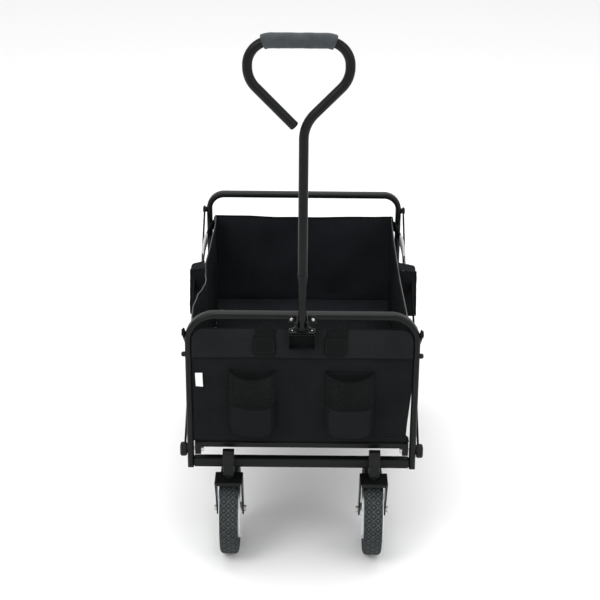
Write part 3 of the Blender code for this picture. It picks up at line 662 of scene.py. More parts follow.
def make_grip(path, y):
    """Foam grip: drawn in a little at its ends, faintly uneven where hands have pressed it."""
    points = [Vector((p.x, y, p.y)) for p in path]
    lengths = [0.0]
    for a, b in zip(points, points[1:]):
        lengths.append(lengths[-1] + (b - a).length)
    total = lengths[-1]
    steps = 90
    spots, sizes = [], []
    for i in range(steps + 1):
        want = total * i / steps
        k = max(j for j in range(len(lengths)) if lengths[j] <= want + 1e-9)
        k = min(k, len(lengths) - 2)
        share = (want - lengths[k]) / (lengths[k + 1] - lengths[k])
        spots.append(points[k].lerp(points[k + 1], share))
        edge = min(want, total - want)
        rounded = math.sqrt(max(0.0, 1 - (1 - min(edge / 0.0015, 1.0)) ** 2))
        sizes.append((0.90 + 0.10 * rounded) * (1 + 0.006 * math.sin(i * 0.55) * math.sin(i * 0.21)))
    grip = add_sweep("handle_grip_foam", spots, circle(GRIP_RADIUS, 48), (0, 1, 0), "foam", sizes)
    for vertex in grip.data.vertices:
        vertex.co.z += 0.0006 + wrinkle(vertex.co, 0.020, 0.0004)
        vertex.co.y += wrinkle(vertex.co, 0.024, 0.0005, 3.0)
    keep(grip, "handle_upper", "grip_foam", "handle_grip")


def make_bracket():
    """Two screwed tabs, a channel for the foot of the post, a flared skirt, and the open tray below."""
    low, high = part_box("handle_bracket")
    x, face = (low.x + high.x) / 2, high.y
    pivot_y = middle("handle_post").y
    top, bottom = high.z, low.z
    skirt_z, tray_top = bottom + 0.0415, bottom + 0.0355
    body, slot, coat = "front_frame", "powder_coat", "powder"
    parts = []
    for side_name, side in SIDES:
        near, far = x + side * 0.0125, x + side * 0.0300
        parts.append(add_block(f"bracket_tab_{side_name}", (min(near, far), face - 0.0028, top - 0.0190),
                               (max(near, far), face - 0.0002, top), 0.0008, coat))
        make_head(f"bracket_screw_{side_name}", (x + side * 0.0222, face - 0.0028, top - 0.0094),
                  (0, -1, 0), 0.0040, 0.0026, "steel", body, "bright_steel")
        make_head(f"bracket_rivet_{side_name}", (x + side * 0.0200, face - 0.0125, skirt_z + 0.0004),
                  (0, -0.35, 1), 0.0021, 0.0010, "steel", body, "bright_steel", False)
        parts.append(make_cheek(side_name, side, x, face, pivot_y, top, skirt_z))
    parts.append(make_skirt(x, face, skirt_z))
    parts.append(make_tray(x, face, bottom, tray_top))
    back = add_block("bracket_back", (x - 0.0135, face - 0.0026, skirt_z - 0.004),
                     (x + 0.0135, face - 0.0002, top - 0.001), 0.0006, coat)
    parts.append(back)
    for part in parts:
        keep(part, body, slot)
    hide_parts("handle_bracket")


def make_cheek(side_name, side, x, face, pivot_y, top, skirt_z):
    """One wall of the channel beside the post, with the head of the pivot pin."""
    outline = [(face - 0.0004, skirt_z - 0.002), (face - 0.0004, top - 0.0005),
               (face - 0.008, top - 0.0005), (face - 0.016, top - 0.006)]
    outline += arc((pivot_y + 0.001, 0.5835), 0.0125, 150, 230, 8) + [(face - 0.015, skirt_z - 0.002)]
    near, far = x + side * 0.0098, x + side * 0.0119
    rings = [[(level, a, b) for a, b in outline] for level in (near, far)]
    make_head(f"handle_pivot_head_{side_name}", (far, pivot_y, 0.585), (side, 0, 0), 0.0042, 0.0020,
              "powder", "front_frame", "powder_coat", False)
    return add_rings(f"bracket_cheek_{side_name}", rings, "powder", bevel=0.0004)


def make_skirt(x, face, skirt_z):
    """The pressed plate that widens from the channel to the tray and carries the rivets."""
    rings = []
    for rise, half, deep in ((0.0, 0.0285, 0.0215), (0.0012, 0.0285, 0.0215), (0.0018, 0.0275, 0.0205),
                             (0.0030, 0.0205, 0.0175), (0.0075, 0.0150, 0.0160), (0.0120, 0.0128, 0.0150),
                             (0.0120, 0.0100, 0.0130), (0.0, 0.0100, 0.0130)):
        z = skirt_z - 0.0022 + rise
        front, corner = face - deep, 0.004
        outline = [(x + half, face - 0.0003), (x + half, front + corner), (x + half - corner, front),
                   (x - half + corner, front), (x - half, front + corner), (x - half, face - 0.0003)]
        rings.append([(a, b, z) for a, b in outline])
    return add_rings("bracket_skirt", rings, "powder", 30, closed=True)


def make_tray(x, face, bottom, top):
    """An open-fronted pressed box below the ledge."""
    half, deep, wall = 0.0287, 0.0215, 0.0018

    def outline(inset, y):
        return [(x + sx * (half - inset), y, z) for sx, z in
                ((-1, bottom + inset), (1, bottom + inset), (1, top - inset), (-1, top - inset))]

    rings = [outline(0, face - 0.0003), outline(0, face - deep), outline(wall, face - deep),
             outline(wall, face - 0.0020)]
    return add_rings("bracket_tray", rings, "bar", bevel=0.0006)


# ---- wheels ----

TREAD_PITCH_COUNT = 32
TREAD_HALF = 0.020
CROWN_FLAT = 0.012
CROWN_BEND = 0.009


def crown_point(across, radius, height):
    """A point of the tyre's crown from its arc length across, lifted along the surface's normal."""
    past = max(0.0, abs(across) - CROWN_FLAT)
    lean = past / CROWN_BEND
    sign = -1 if across < 0 else 1
    x = sign * (min(abs(across), CROWN_FLAT) + CROWN_BEND * math.sin(lean))
    r = radius - CROWN_BEND * (1 - math.cos(lean))
    return x + sign * height * math.sin(lean), r + height * math.cos(lean)


def tread_shape(radius):
    """Raised diamond ribs, each round a smaller raised diamond, laid flat and wrapped round the crown."""
    pitch = 2 * math.pi * radius / TREAD_PITCH_COUNT
    rows = [TREAD_HALF * k / 2 for k in range(-2, 3)]
    cells = []
    for i in range(TREAD_PITCH_COUNT):
        for row in (1, 3):
            cells.append([(2 * i, row), (2 * i + 1, row - 1), (2 * i + 2, row), (2 * i + 1, row + 1)])
        cells.append([(2 * i + 1, 2), (2 * i + 2, 1), (2 * i + 3, 2), (2 * i + 2, 3)])
        cells.append([(2 * i + 1, 0), (2 * i + 3, 0), (2 * i + 2, 1)])
        cells.append([(2 * i + 1, 4), (2 * i + 2, 3), (2 * i + 3, 4)])
    flat = bmesh.new()
    steps = ((0.0, 0.0), (0.0013, 0.0), (0.0019, -0.0014), (0.0042, -0.0014), (0.0047, -0.0003))
    for cell in cells:
        spots = [Vector((i * pitch / 2, rows[row], 0.0)) for i, row in cell]
        rings = []
        for inset, height in steps:
            rings.append([flat.verts.new(p + Vector((0, 0, height))) for p in inset_outline(spots, inset)])
        for ring_number, (outer, inner) in enumerate(zip(rings, rings[1:])):
            for k in range(len(outer)):
                j = (k + 1) % len(outer)
                face = flat.faces.new((outer[k], outer[j], inner[j], inner[k]))
                # rib tops, inner-diamond slopes and inner-diamond tops take material 1, the brighter
                # rubber: a painted highlight
                face.material_index = 1 if ring_number in (0, 3) else 0
        face = flat.faces.new(rings[-1])
        face.material_index = 1
    bmesh.ops.remove_doubles(flat, verts=flat.verts, dist=1e-5)
    bmesh.ops.subdivide_edges(flat, edges=[e for e in flat.edges if e.calc_length() > 0.004], cuts=1,
                              use_grid_fill=True)
    total = pitch * TREAD_PITCH_COUNT
    for vertex in flat.verts:
        angle = 2 * math.pi * vertex.co.x / total
        x, r = crown_point(vertex.co.y, radius, vertex.co.z)
        vertex.co = Vector((x, r * math.cos(angle), r * math.sin(angle)))
    bmesh.ops.remove_doubles(flat, verts=flat.verts, dist=1e-5)
    rim = [e for e in flat.edges if e.is_boundary]
    skirt = bmesh.ops.extrude_edge_only(flat, edges=rim)["geom"]
    for vertex in [g for g in skirt if isinstance(g, bmesh.types.BMVert)]:
        shrink = 1 - 0.003 / math.hypot(vertex.co.y, vertex.co.z)
        vertex.co.y *= shrink
        vertex.co.z *= shrink
        vertex.co.x *= 0.96
    return flat


def inset_outline(spots, inset):
    """Moves each side of a flat convex outline inwards by the inset."""
    if inset == 0:
        return list(spots)
    count = len(spots)
    sides = [spots[(k + 1) % count] - spots[k] for k in range(count)]
    turning = sum(sides[k].cross(sides[(k + 1) % count]).z for k in range(count))
    inward = 1 if turning > 0 else -1
    lines = []
    for k in range(count):
        along = sides[k].normalized()
        normal = Vector((-along.y, along.x, 0)) * inward
        lines.append((spots[k] + normal * inset, along))
    moved = []
    for k in range(count):
        (p, d), (q, e) = lines[k - 1], lines[k]
        det = d.x * e.y - d.y * e.x
        t = ((q.x - p.x) * e.y - (q.y - p.y) * e.x) / det
        moved.append(p + d * t)
    return moved


def hub_shape():
    """A moulded hub: rim, thin web, boss, and five pairs of leaning ribs on each face."""
    rim, half = 0.0656, 0.0238
    profile = [(0.0262, 0.0046), (0.0262, 0.0135), (0.0254, 0.0146), (0.0060, 0.0170), (0.0034, 0.0190),
               (0.0034, 0.0560), (0.0060, 0.0585), (half - 0.0035, 0.0600), (half - 0.0006, 0.0606),
               (half, 0.0614), (half, rim - 0.0012), (half - 0.0010, rim)]
    outline = profile + [(-x, r) for x, r in reversed(profile)]
    shape = bmesh.new()
    rings = []
    segments = 96
    for k in range(segments):
        angle = 2 * math.pi * k / segments
        rings.append([shape.verts.new((x, r * math.cos(angle), r * math.sin(angle))) for x, r in outline])
    join_rings(shape, rings + rings[:1])
    for side in (-1, 1):
        for k in range(5):
            angle = 2 * math.pi * k / 5 + (0.3 if side > 0 else 0.0)
            for twist in (-0.135, 0.135):
                add_rib(shape, side, angle, twist)
    return shape


def add_rib(shape, side, angle, twist):
    """A tapered radial rib that runs from the boss to the rim on one face of the hub."""
    stations = ((0.0140, 0.0150, 0.0036), (0.0250, 0.0132, 0.0032), (0.0420, 0.0118, 0.0028),
                (0.0595, 0.0135, 0.0034))
    rings = []
    for r, height, half in stations:
        lean = angle + twist * (0.35 + 1.1 * (r / 0.06))
        out = Vector((0, math.cos(lean), math.sin(lean)))
        wide = Vector((0, -math.sin(lean), math.cos(lean)))
        ring = []
        for level, share in ((0.0028, 1.15), (height - 0.0012, 1.0), (height, 0.7)):
            ring.append((level, share * half))
        spots = [out * r + wide * w + Vector((side * level, 0, 0)) for level, w in ring]
        spots += [out * r - wide * w + Vector((side * level, 0, 0)) for level, w in reversed(ring)]
        rings.append([shape.verts.new(p) for p in spots])
    join_rings(shape, rings)
    cap_ends(shape, rings)


def make_wheels():
    """One tyre and one hub mesh serve all four wheels."""
    low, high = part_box("front_tyre_left")
    radius = (high.z - low.z) / 2
    half = (high.x - low.x) / 2 - 0.0020
    rim = 0.0664
    shoulder = [crown_point(TREAD_HALF + 0.0068 * i / 4, radius, -0.0004) for i in range(5)]
    wall = [(half - 0.0006, radius - 0.016), (half - 0.0004, radius - 0.022), (half - 0.0016, rim + 0.0075),
            (half - 0.0018, rim + 0.0050), (half - 0.0008, rim + 0.0040), (half - 0.0012, rim + 0.0015),
            (half - 0.0026, rim)]
    crown = [crown_point(TREAD_HALF * i / 6, radius, -0.0019) for i in range(6)]
    right = crown[1:] + shoulder + wall
    outline = [(-x, r) for x, r in reversed(right)] + [crown[0]] + right
    carcass = add_turned("tyre_carcass", outline, (0, 0, 0), "tyre", "X", 128).data
    tread_source = add_mesh("tyre_tread", tread_shape(radius), "tyre", 25)
    # second material: the brighter rubber, a painted highlight on the tread's raised faces
    tread_source.data.materials.append(MATERIALS["tread"])
    tread = tread_source.data
    hub = add_mesh("wheel_hub", hub_shape(), "hub", 35)
    bevel = hub.modifiers.new("soft_edges", "BEVEL")
    bevel.width, bevel.segments, bevel.limit_method = 0.0005, 2, "ANGLE"
    hub = applied(hub).data
    for stand_in in [o for o in bpy.data.objects if o.data in (carcass, tread, hub)]:
        bpy.data.objects.remove(stand_in, do_unlink=True)
    for end in ("front", "rear"):
        for side_name, _ in SIDES:
            place_wheel(end, side_name, carcass, tread, hub)


def place_wheel(end, side_name, carcass, tread, hub):
    centre = middle(f"{end}_tyre_{side_name}")
    body = f"{end}_wheel_{side_name}"
    for part, mesh, slot, node in (("carcass", carcass, "tyre_rubber", "tyre"),
                                   ("tread", tread, "tyre_rubber", None),
                                   ("hub", hub, "hub_plastic", "hub")):
        made = bpy.data.objects.new(f"{end}_{part}_{side_name}", mesh)
        bpy.context.collection.objects.link(made)
        made.location = centre
        nodes = [f"{end}_{node}_{side_name}"] if node else []
        keep(made, body, slot, *nodes)


# ---- casters, crossbars and floor hardware ----

def make_casters():
    for end in ("front", "rear"):
        for side_name, side in SIDES:
            make_caster(end, side_name, side)


def make_caster(end, side_name, side):
    """The stem housing with its tapered cap."""
    low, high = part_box(f"{end}_wheel_block_{side_name}")
    x, body = (low.x + high.x) / 2, f"{end}_frame"
    inward = 1 if end == "front" else -1
    face = low.y + 0.001 if end == "front" else high.y - 0.001
    half, bottom, top = 0.0115, low.z, high.z
    shape = bmesh.new()
    bmesh.ops.create_cube(shape, size=1.0)
    deep = 0.0245
    for vertex in shape.verts:
        vertex.co.x = x + vertex.co.x * 2 * half
        vertex.co.y = face + inward * deep * (vertex.co.y + 0.5)
        vertex.co.z = bottom + (vertex.co.z + 0.5) * (top - 0.026 - bottom)
    bmesh.ops.bevel(shape, geom=shape.edges[:], offset=0.0020, segments=3, profile=0.5, affect="EDGES")
    lower = add_mesh(f"{end}_stem_housing_{side_name}", shape, "powder", 40)
    keep(lower, body, "powder_coat", f"{end}_wheel_block_{side_name}")
    outline = [(0.0, top - 0.030), (0.0, top - 0.009), (0.0016, top - 0.003), (0.0048, top - 0.0004),
               (0.0165, top), (0.0182, top - 0.0016)]
    reach = abs(face - middle(f"{end}_hoop").y)
    sweep_radius = 0.0238
    for i in range(13):
        angle = math.radians(54 - 4.5 * i)
        rise = FLOOR_PIVOT_Z + sweep_radius * math.sin(angle)
        if top - 0.030 < rise < top - 0.0018:
            outline.append((reach - sweep_radius * math.cos(angle), rise))
    outline.append((outline[-1][0], top - 0.030))
    rings = [[(x + sx * (half + 0.0009), face + inward * (a - 0.0009), z) for a, z in outline]
             for sx in (-1, 1)]
    cap = add_rings(f"{end}_stem_cap_{side_name}", rings, "plastic", 40, bevel=0.0008)
    keep(cap, body, "black_plastic")


def at_corners(piece):
    return [f"{end}_{piece}_{side_name}" for end in ("front", "rear") for side_name, _ in SIDES]


CAD_FINISH = (("powder", ["front_crossbar", "rear_crossbar", "handle_post", "floor_frame_front",
                          "floor_frame_rear"] + at_corners("fork")),
              ("bar", at_corners("pinned_bar")),
              ("steel", at_corners("axle_bolt") + at_corners("floor_screw")),
              ("plastic", at_corners("knob_bolt") + ["release_button"]))


def finish_cad():
    """Gives the carried-over CAD nodes their materials and softly broken edges."""
    for finish, names in CAD_FINISH:
        for name in names:
            node = frame["nodes"][name]
            node.data.materials.clear()
            node.data.materials.append(MATERIALS[finish])
            bevel = node.modifiers.new("soft_edges", "BEVEL")
            bevel.width = 0.0005
            bevel.segments = 2
            bevel.limit_method = "ANGLE"
            bevel.angle_limit = math.radians(40)
            bevel.harden_normals = False


# ---- side scissors ----

BAR_HALF = 0.010
BAR_THICK = 0.0032
OUTER_BAR_X = 0.2544
INNER_BAR_X = 0.2508
CAP_LOW_X = 0.2510
CAP_HIGH_X = 0.2660
LEG_STUD_Z = 0.500


def stadium(start, end, half, steps=14):
    """The outline of a flat bar with round ends."""
    along = Vector(end) - Vector(start)
    angle = math.degrees(math.atan2(along.y, along.x))
    return arc(start, half, angle + 90, angle + 270, steps) + arc(end, half, angle - 90, angle + 90, steps)


def add_plate(name, outline, low_x, high_x, bevel, material, segments=2):
    """A flat outline in Y and Z with its thickness along X and softened edges."""
    shape = bmesh.new()
    rings = [[shape.verts.new((x, a, b)) for a, b in outline] for x in (low_x, high_x)]
    join_rings(shape, rings)
    cap_ends(shape, rings)
    edges = [e for e in shape.edges if abs(e.verts[0].co.x - e.verts[1].co.x) < 1e-6]
    bmesh.ops.bevel(shape, geom=edges, offset=bevel, segments=segments, profile=0.5, affect="EDGES")
    return add_mesh(name, shape, material, 40)


def make_scissors():
    for side_name, side in SIDES:
        make_scissor("front", side_name, side, FRONT_Y, OUTER_BAR_X)
        make_scissor("rear", side_name, side, REAR_Y, INNER_BAR_X)


def make_scissor(end, side_name, side, hoop_y, layer):
    """The bar with the capped foot, and the rivets that hold the bars together."""
    low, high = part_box(f"{end}_sliding_bar_{side_name}")
    pinned_low, pinned_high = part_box(f"{end}_pinned_bar_{side_name}")
    foot_z, top_z = low.z + BAR_HALF + 0.002, high.z - BAR_HALF
    foot, top = Vector((hoop_y, foot_z)), Vector((CENTRE_Y, top_z))
    body = f"{end}_sliding_bar_{side_name}"
    flat = sorted((side * layer, side * (layer + BAR_THICK)))
    bar = add_plate(f"{end}_capped_bar_{side_name}", stadium(foot, top, BAR_HALF), *flat, 0.0006,
                    "bar")
    keep(bar, body, "powder_coat", body)
    back = (top - foot).normalized()
    cap = add_plate(f"{end}_bar_cap_{side_name}", stadium(foot, foot + back * 0.007, BAR_HALF + 0.0023),
                    *sorted((side * CAP_LOW_X, side * CAP_HIGH_X)), 0.0042, "plastic", 5)
    keep(cap, body, "black_plastic")
    drop, rise = pinned_high.z - pinned_low.z - 2 * BAR_HALF, top_z - foot_z
    crossing = foot + (top - foot) * drop / (drop + rise)
    outer = body if end == "front" else f"rear_pinned_bar_{side_name}"
    spots = [("cross", crossing, outer)]
    spots.append(("top", top, outer) if end == "front" else ("low", Vector((CENTRE_Y, foot_z)), outer))
    for spot_name, spot, rider in spots:
        place = (side * (OUTER_BAR_X + BAR_THICK), spot.x, spot.y)
        make_head(f"{end}_{spot_name}_rivet_{side_name}", place, (side, 0, 0), 0.0062, 0.0018, "powder",
                  rider, "powder_coat", False)
    if end == "front":
        place = (side * HALF_WIDTH, FRONT_Y - 0.0062, LEG_STUD_Z)
        make_head(f"leg_stud_{side_name}", place, (side, 0, 0), 0.0057, 0.0080, "plastic", "front_frame",
                  "black_plastic", False)


# ---- front and rear fabric ----

PANEL_HALF = 0.2356
PANEL_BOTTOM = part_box("front_panel")[0].z
PANEL_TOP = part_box("front_panel")[1].z
PANEL_Y = FRONT_Y - 0.0080
REAR_HALF = 0.2300
BAND_BOTTOM = 0.4965
BAND_Y = FRONT_Y - 0.0116
TOP_CORNER = 0.030
CLOTH = 0.0018


def blend_step(low, high, value):
    share = min(1.0, max(0.0, (value - low) / (high - low)))
    return share * share * (3 - 2 * share)


def panel_edges(z, top, pull):
    """Left and right edge of an end panel at height z; pull draws the lower right side in."""
    inset = 0.0
    if z > top - TOP_CORNER:
        rise = min(z - (top - TOP_CORNER), TOP_CORNER)
        inset = TOP_CORNER - math.sqrt(max(TOP_CORNER ** 2 - rise ** 2, 0.0))
    drawn = pull * (1 - blend_step(0.300, 0.440, z))
    return -PANEL_HALF + inset, PANEL_HALF - inset - drawn


def front_panel_point(u, v):
    z = PANEL_TOP - 0.0008 - v * (PANEL_TOP - PANEL_BOTTOM - 0.0008)
    left, right = panel_edges(z, PANEL_TOP + 0.0002, 0.0085)
    x = left + u * (right - left)
    edge = min(u, 1 - u, v * 0.6, (1 - v) * 0.7)
    free = blend_step(0.0, 0.12, edge)
    slant = 0.0016 * math.sin(30 * (x * 0.75 + z) + 2.0 * noise.noise(Vector((x * 5, z * 5, 2.0))))
    slant += wrinkle((x * 0.7 + z * 0.5, 0, z - x * 0.4), 0.075, 0.0042, 5.0)
    belly = -0.0008 * math.sin(math.pi * u) * math.sin(math.pi * v)
    sag = 0.0012 * math.sin(math.pi * u) * v
    return Vector((x, PANEL_Y + free * slant * 0.85 + belly, z - sag))


def band_point(u, v):
    z = PANEL_TOP - 0.0006 - v * (PANEL_TOP - BAND_BOTTOM)
    left, right = panel_edges(z, PANEL_TOP, 0.0)
    x = left + u * (right - left)
    folds = 0.0011 * math.sin(v * 13.5 + 1.6 * noise.noise(Vector((x * 9, 0, 7.0))) + 0.8)
    folds *= blend_step(0.0, 0.1, min(v, 1 - v) + 0.02)
    flare = -0.0009 * blend_step(0.7, 1.0, v)
    ripple = wrinkle((x, 0, z * 3), 0.05, 0.0009, 8.0)
    droop = 0.0016 * blend_step(0.6, 1.0, v) * (0.5 + 0.5 * math.sin(x * 22 + 1.0))
    return Vector((x, BAND_Y + folds * 0.6 + flare + ripple * 0.6, z - droop))


def rear_panel_point(u, v):
    low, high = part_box("rear_panel")
    z = high.z - v * (high.z - low.z)
    half = REAR_HALF + (PANEL_HALF - 0.0006 - REAR_HALF) * blend_step(0.25, 0.8, v)
    x = (2 * u - 1) * half
    free = blend_step(0.0, 0.1, min(u, 1 - u, (1 - v)))
    fold = 0.0016 * math.sin(30 * (z - 0.6 * x) + 2.4 * noise.noise(Vector((x * 4, z * 4, 9.0))))
    fold += wrinkle((x, 0, z), 0.085, 0.0060, 11.0)
    dip = 0.0030 * math.sin(math.pi * u) ** 2 * (1 - blend_step(0.0, 0.3, v))
    return Vector((x, middle("rear_panel").y + free * fold * 0.8, z - dip))


def sewn(name, points, radius, body, segments=10, material="web"):
    """A hem, tape or cord sewn along a line."""
    return keep(add_pipe(name, points, radius, material, segments), body, "woven_fabric")


def add_stitches(name, points, body, length=0.0030, gap=0.0016, radius=0.00035):
    """One mesh of small round-ended stitches along a line."""
    points = [Vector(p) for p in points]
    shape = bmesh.new()
    walked, target = 0.0, 0.0
    spots = []
    for a, b in zip(points, points[1:]):
        span = (b - a).length
        while target <= walked + span and span > 0:
            spots.append((a.lerp(b, (target - walked) / span), (b - a).normalized()))
            target += length + gap
        walked += span
    for spot, ahead in spots:
        other = ahead.orthogonal().normalized()
        third = ahead.cross(other)
        rings = []
        for along, size in ((-0.5, 0.35), (-0.36, 1.0), (0.36, 1.0), (0.5, 0.35)):
            rings.append([shape.verts.new(spot + ahead * along * length
                                          + (other * math.cos(k * math.pi / 3)
                                             + third * math.sin(k * math.pi / 3)) * radius * size)
                          for k in range(6)])
        join_rings(shape, rings)
        cap_ends(shape, rings)
    return keep(add_mesh(name, shape, "thread", 60), body, "woven_fabric")


def make_end_panels():
    front = add_cloth("front_cloth", front_panel_point, 110, 66, CLOTH, "cloth_x")
    keep(front, "front_frame", "woven_fabric", "front_panel")
    band = add_cloth("front_band", band_point, 120, 30, 0.0013, "band")
    keep(band, "front_frame", "woven_fabric")
    across = [i / 60 for i in range(61)]
    lower = [band_point(u, 1.0) + Vector((0, -0.0002, 0.0004)) for u in across]
    band_hem = sewn("front_band_hem", lower, 0.0009, "front_frame")
    bottom = [front_panel_point(u, 1.0) + Vector((0, 0, 0.0012)) for u in across]
    bottom_hem = sewn("front_bottom_hem", bottom, 0.0016, "front_frame")
    for row, drop in (("upper", 0.90), ("lower", 0.955)):
        line = [band_point(u, drop) + Vector((0, -0.0009, 0)) for u in across]
        add_stitches(f"band_stitches_{row}", line, "front_frame")
    line = [front_panel_point(u, 0.962) + Vector((0, -0.0011, 0)) for u in across]
    add_stitches("front_bottom_stitches", line, "front_frame")

    rear = add_cloth("rear_cloth", rear_panel_point, 110, 60, CLOTH, "lining")
    keep(rear, "rear_frame", "woven_fabric", "rear_panel")
    top = [rear_panel_point(u, 0.0) for u in across]
    rear_hem = sewn("rear_top_hem", top, 0.0022, "rear_frame")
    line = [rear_panel_point(u, 0.055) + Vector((0, -0.0011, 0)) for u in across]
    add_stitches("rear_top_stitches", line, "rear_frame")


def make_straps():
    """Hook-and-loop straps: folded over the band, wider below, with rounded lower corners."""
    for side_name, tilt, seed in (("left", 0.03, 1.0), ("right", -0.02, 4.0)):
        low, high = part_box(f"closing_strap_{side_name}")
        centre, half = (low.x + high.x) / 2, (high.x - low.x) / 2
        tall = high.z - low.z

        def place(u, v, bulge=0.0):
            z = high.z + 0.0008 - v * tall
            wide = half * (0.91 + 0.09 * blend_step(0.22, 0.34, v))
            if v > 0.86:
                drop = (v - 0.86) * tall
                corner = 0.14 * tall
                wide -= corner - math.sqrt(max(corner ** 2 - drop ** 2, 0.0)) if drop < corner else corner
            x = centre + (2 * u - 1) * wide + tilt * (v - 0.3) * tall
            x += 0.003 * (1 - blend_step(0.22, 0.34, v))
            y = FRONT_Y - 0.0142 - 0.0011 * math.sin(math.pi * u) * math.sin(math.pi * min(v * 1.3, 1))
            y += wrinkle((x, 0, z), 0.02, 0.0006, seed) - 0.0008 * blend_step(0.26, 0.36, v) - bulge
            return Vector((x, y, z))

        strap = add_cloth(f"closing_strap_cloth_{side_name}", place, 26, 40, 0.0016, "web")
        keep(strap, "front_frame", "woven_fabric", f"closing_strap_{side_name}")
        box_line = [place(u, 0.36, 0.0010) for u in (0.08, 0.3, 0.5, 0.7, 0.92)]
        box_line += [place(0.92, v, 0.0010) for v in (0.5, 0.65, 0.8)]
        box_line += [place(u, 0.84, 0.0010) for u in (0.8, 0.6, 0.4, 0.2, 0.1)]
        box_line += [place(0.08, v, 0.0010) for v in (0.7, 0.5, 0.36)]
        add_stitches(f"strap_stitches_{side_name}", box_line, "front_frame")
        fold = sewn(f"strap_fold_{side_name}", [place(u / 10, 0.30, 0.0003) for u in range(11)], 0.0012,
                    "front_frame")


# ---- cup pockets ----

def make_pockets():
    for side_name, seed in (("left", 2.0), ("right", 6.0)):
        make_pocket(side_name, seed)


def make_pocket(side_name, seed):
    """A pouch of net above plain cloth, drawn in by its elastic mouth and rounded at its foot."""
    low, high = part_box(f"cup_pocket_{side_name}")
    centre, half = (low.x + high.x) / 2, (high.x - low.x) / 2
    top, bottom, back = high.z + 0.0145, low.z, high.y + 0.0008
    seam = 0.43

    def place(u, v):
        around = math.sin(math.pi * u)
        swell = 0.0170 + 0.0165 * blend_step(0.0, 0.45, v) - 0.004 * blend_step(0.75, 1.0, v)
        gusset = blend_step(0.0, 0.16, min(u, 1 - u)) ** 0.75
        deep = swell * gusset * (0.86 + 0.14 * around)
        side = -math.cos(math.pi * u) * 0.35 + (2 * u - 1) * 0.65
        wide = half * (0.965 + 0.035 * blend_step(0.0, 0.5, v))
        foot = blend_step(0.78, 1.0, v)
        x = centre + side * wide * (1 - 0.13 * foot ** 2)
        sag = 0.0165 * around ** 1.3 * (1 - v) ** 1.2
        round_foot = 0.024 * (1 - around ** 0.6) * foot
        z = top - sag - v * (top - bottom - 0.001) * (1 - 0.10 * (1 - v) * around) + round_foot
        crease = 0.0016 * around * math.sin(9 * u + 14 * v + seed)
        crease += 0.0022 * around * noise.noise(Vector((u * 3.0, v * 3.5, seed)))
        close = 1 - 0.75 * blend_step(0.90, 1.0, v)
        return Vector((x, back - deep * close - crease * blend_step(0.0, 0.15, v) * close, z))

    def seam_line(u):
        return seam + 0.03 * math.sin(math.pi * u) + 0.03 * (u - 0.5)

    lower = add_cloth(f"cup_pocket_cloth_{side_name}",
                      lambda u, v: place(u, seam_line(u) + (1 - seam_line(u)) * v), 44, 30, 0.0013,
                      "cloth_x")
    net = make_net(f"cup_pocket_net_{side_name}", lambda u, v: place(u, seam_line(u) * v), 17, 13)
    keep(net, "front_frame", "mesh_fabric", f"cup_pocket_{side_name}")
    keep(lower, "front_frame", "woven_fabric")
    across = [i / 40 for i in range(41)]
    mouth = add_pipe(f"cup_pocket_elastic_{side_name}", [place(u, 0.0) for u in across], 0.0019,
                     "web", 12)
    for vertex in mouth.data.vertices:
        vertex.co.z += 0.0005 * math.sin(vertex.co.x * 2600)
    join = [place(u, seam_line(u)) + Vector((0, -0.0004, 0)) for u in across]
    trims = [keep(mouth, "front_frame", "woven_fabric"),
             sewn(f"cup_pocket_seam_{side_name}", join, 0.0011, "front_frame"),
             sewn(f"cup_pocket_foot_{side_name}", [place(u, 0.995) for u in across], 0.0013, "front_frame")]
    for end_name, u in (("outer", 0.0), ("inner", 1.0)):
        rim = [place(u, v / 30) for v in range(31)]
        trims.append(sewn(f"cup_pocket_side_{end_name}_{side_name}", rim, 0.0011, "front_frame", 8))
    patch = add_cloth(f"cup_pocket_back_{side_name}",
                      lambda u, v: Vector((centre + (2 * u - 1) * half * 0.96, back - 0.0004,
                                           top + 0.001 - v * (top - bottom - 0.012))),
                      20, 24, 0.0008, "web")
    keep(patch, "front_frame", "woven_fabric")
    line = [place(u, seam_line(u) + 0.02) + Vector((0, -0.0011, 0)) for u in across[2:-2]]
    add_stitches(f"cup_pocket_stitches_{side_name}", line, "front_frame", 0.0024, 0.0014)


def make_net(name, place, across, down):
    """An open net: a diamond lattice of thin yarn with real holes."""
    shape = bmesh.new()
    spots = {}

    def spot(i, j):
        if (i, j) not in spots:
            spots[(i, j)] = shape.verts.new(place(i / (2 * across), j / (2 * down)))
        return spots[(i, j)]

    for i in range(0, 2 * across + 1):
        for j in range(0, 2 * down + 1):
            if (i + j) % 2:
                continue
            corners = [(i - 1, j), (i, j - 1), (i + 1, j), (i, j + 1)]
            inside = [c for c in corners if 0 <= c[0] <= 2 * across and 0 <= c[1] <= 2 * down]
            if len(inside) > 2:
                shape.faces.new([spot(*c) for c in inside])
    net = add_mesh(name, shape, "net", 180)
    wire = net.modifiers.new("yarn", "WIREFRAME")
    wire.thickness = 0.0014
    wire.use_boundary = True
    wire.use_even_offset = False
    return applied(net)


def make_label():
    """A blank white care label, folded at its top and curling a little."""
    def place(u, v):
        x = -0.2292 + 0.0156 * u + 0.0012 * v
        curl = 0.0016 * math.sin(math.pi * v) + 0.0026 * v * v * u
        return Vector((x, PANEL_Y - 0.0026 - curl, 0.4577 - 0.0318 * v))

    label = add_cloth("care_label", place, 12, 20, 0.0006, "label")
    keep(label, "front_frame", "woven_fabric")
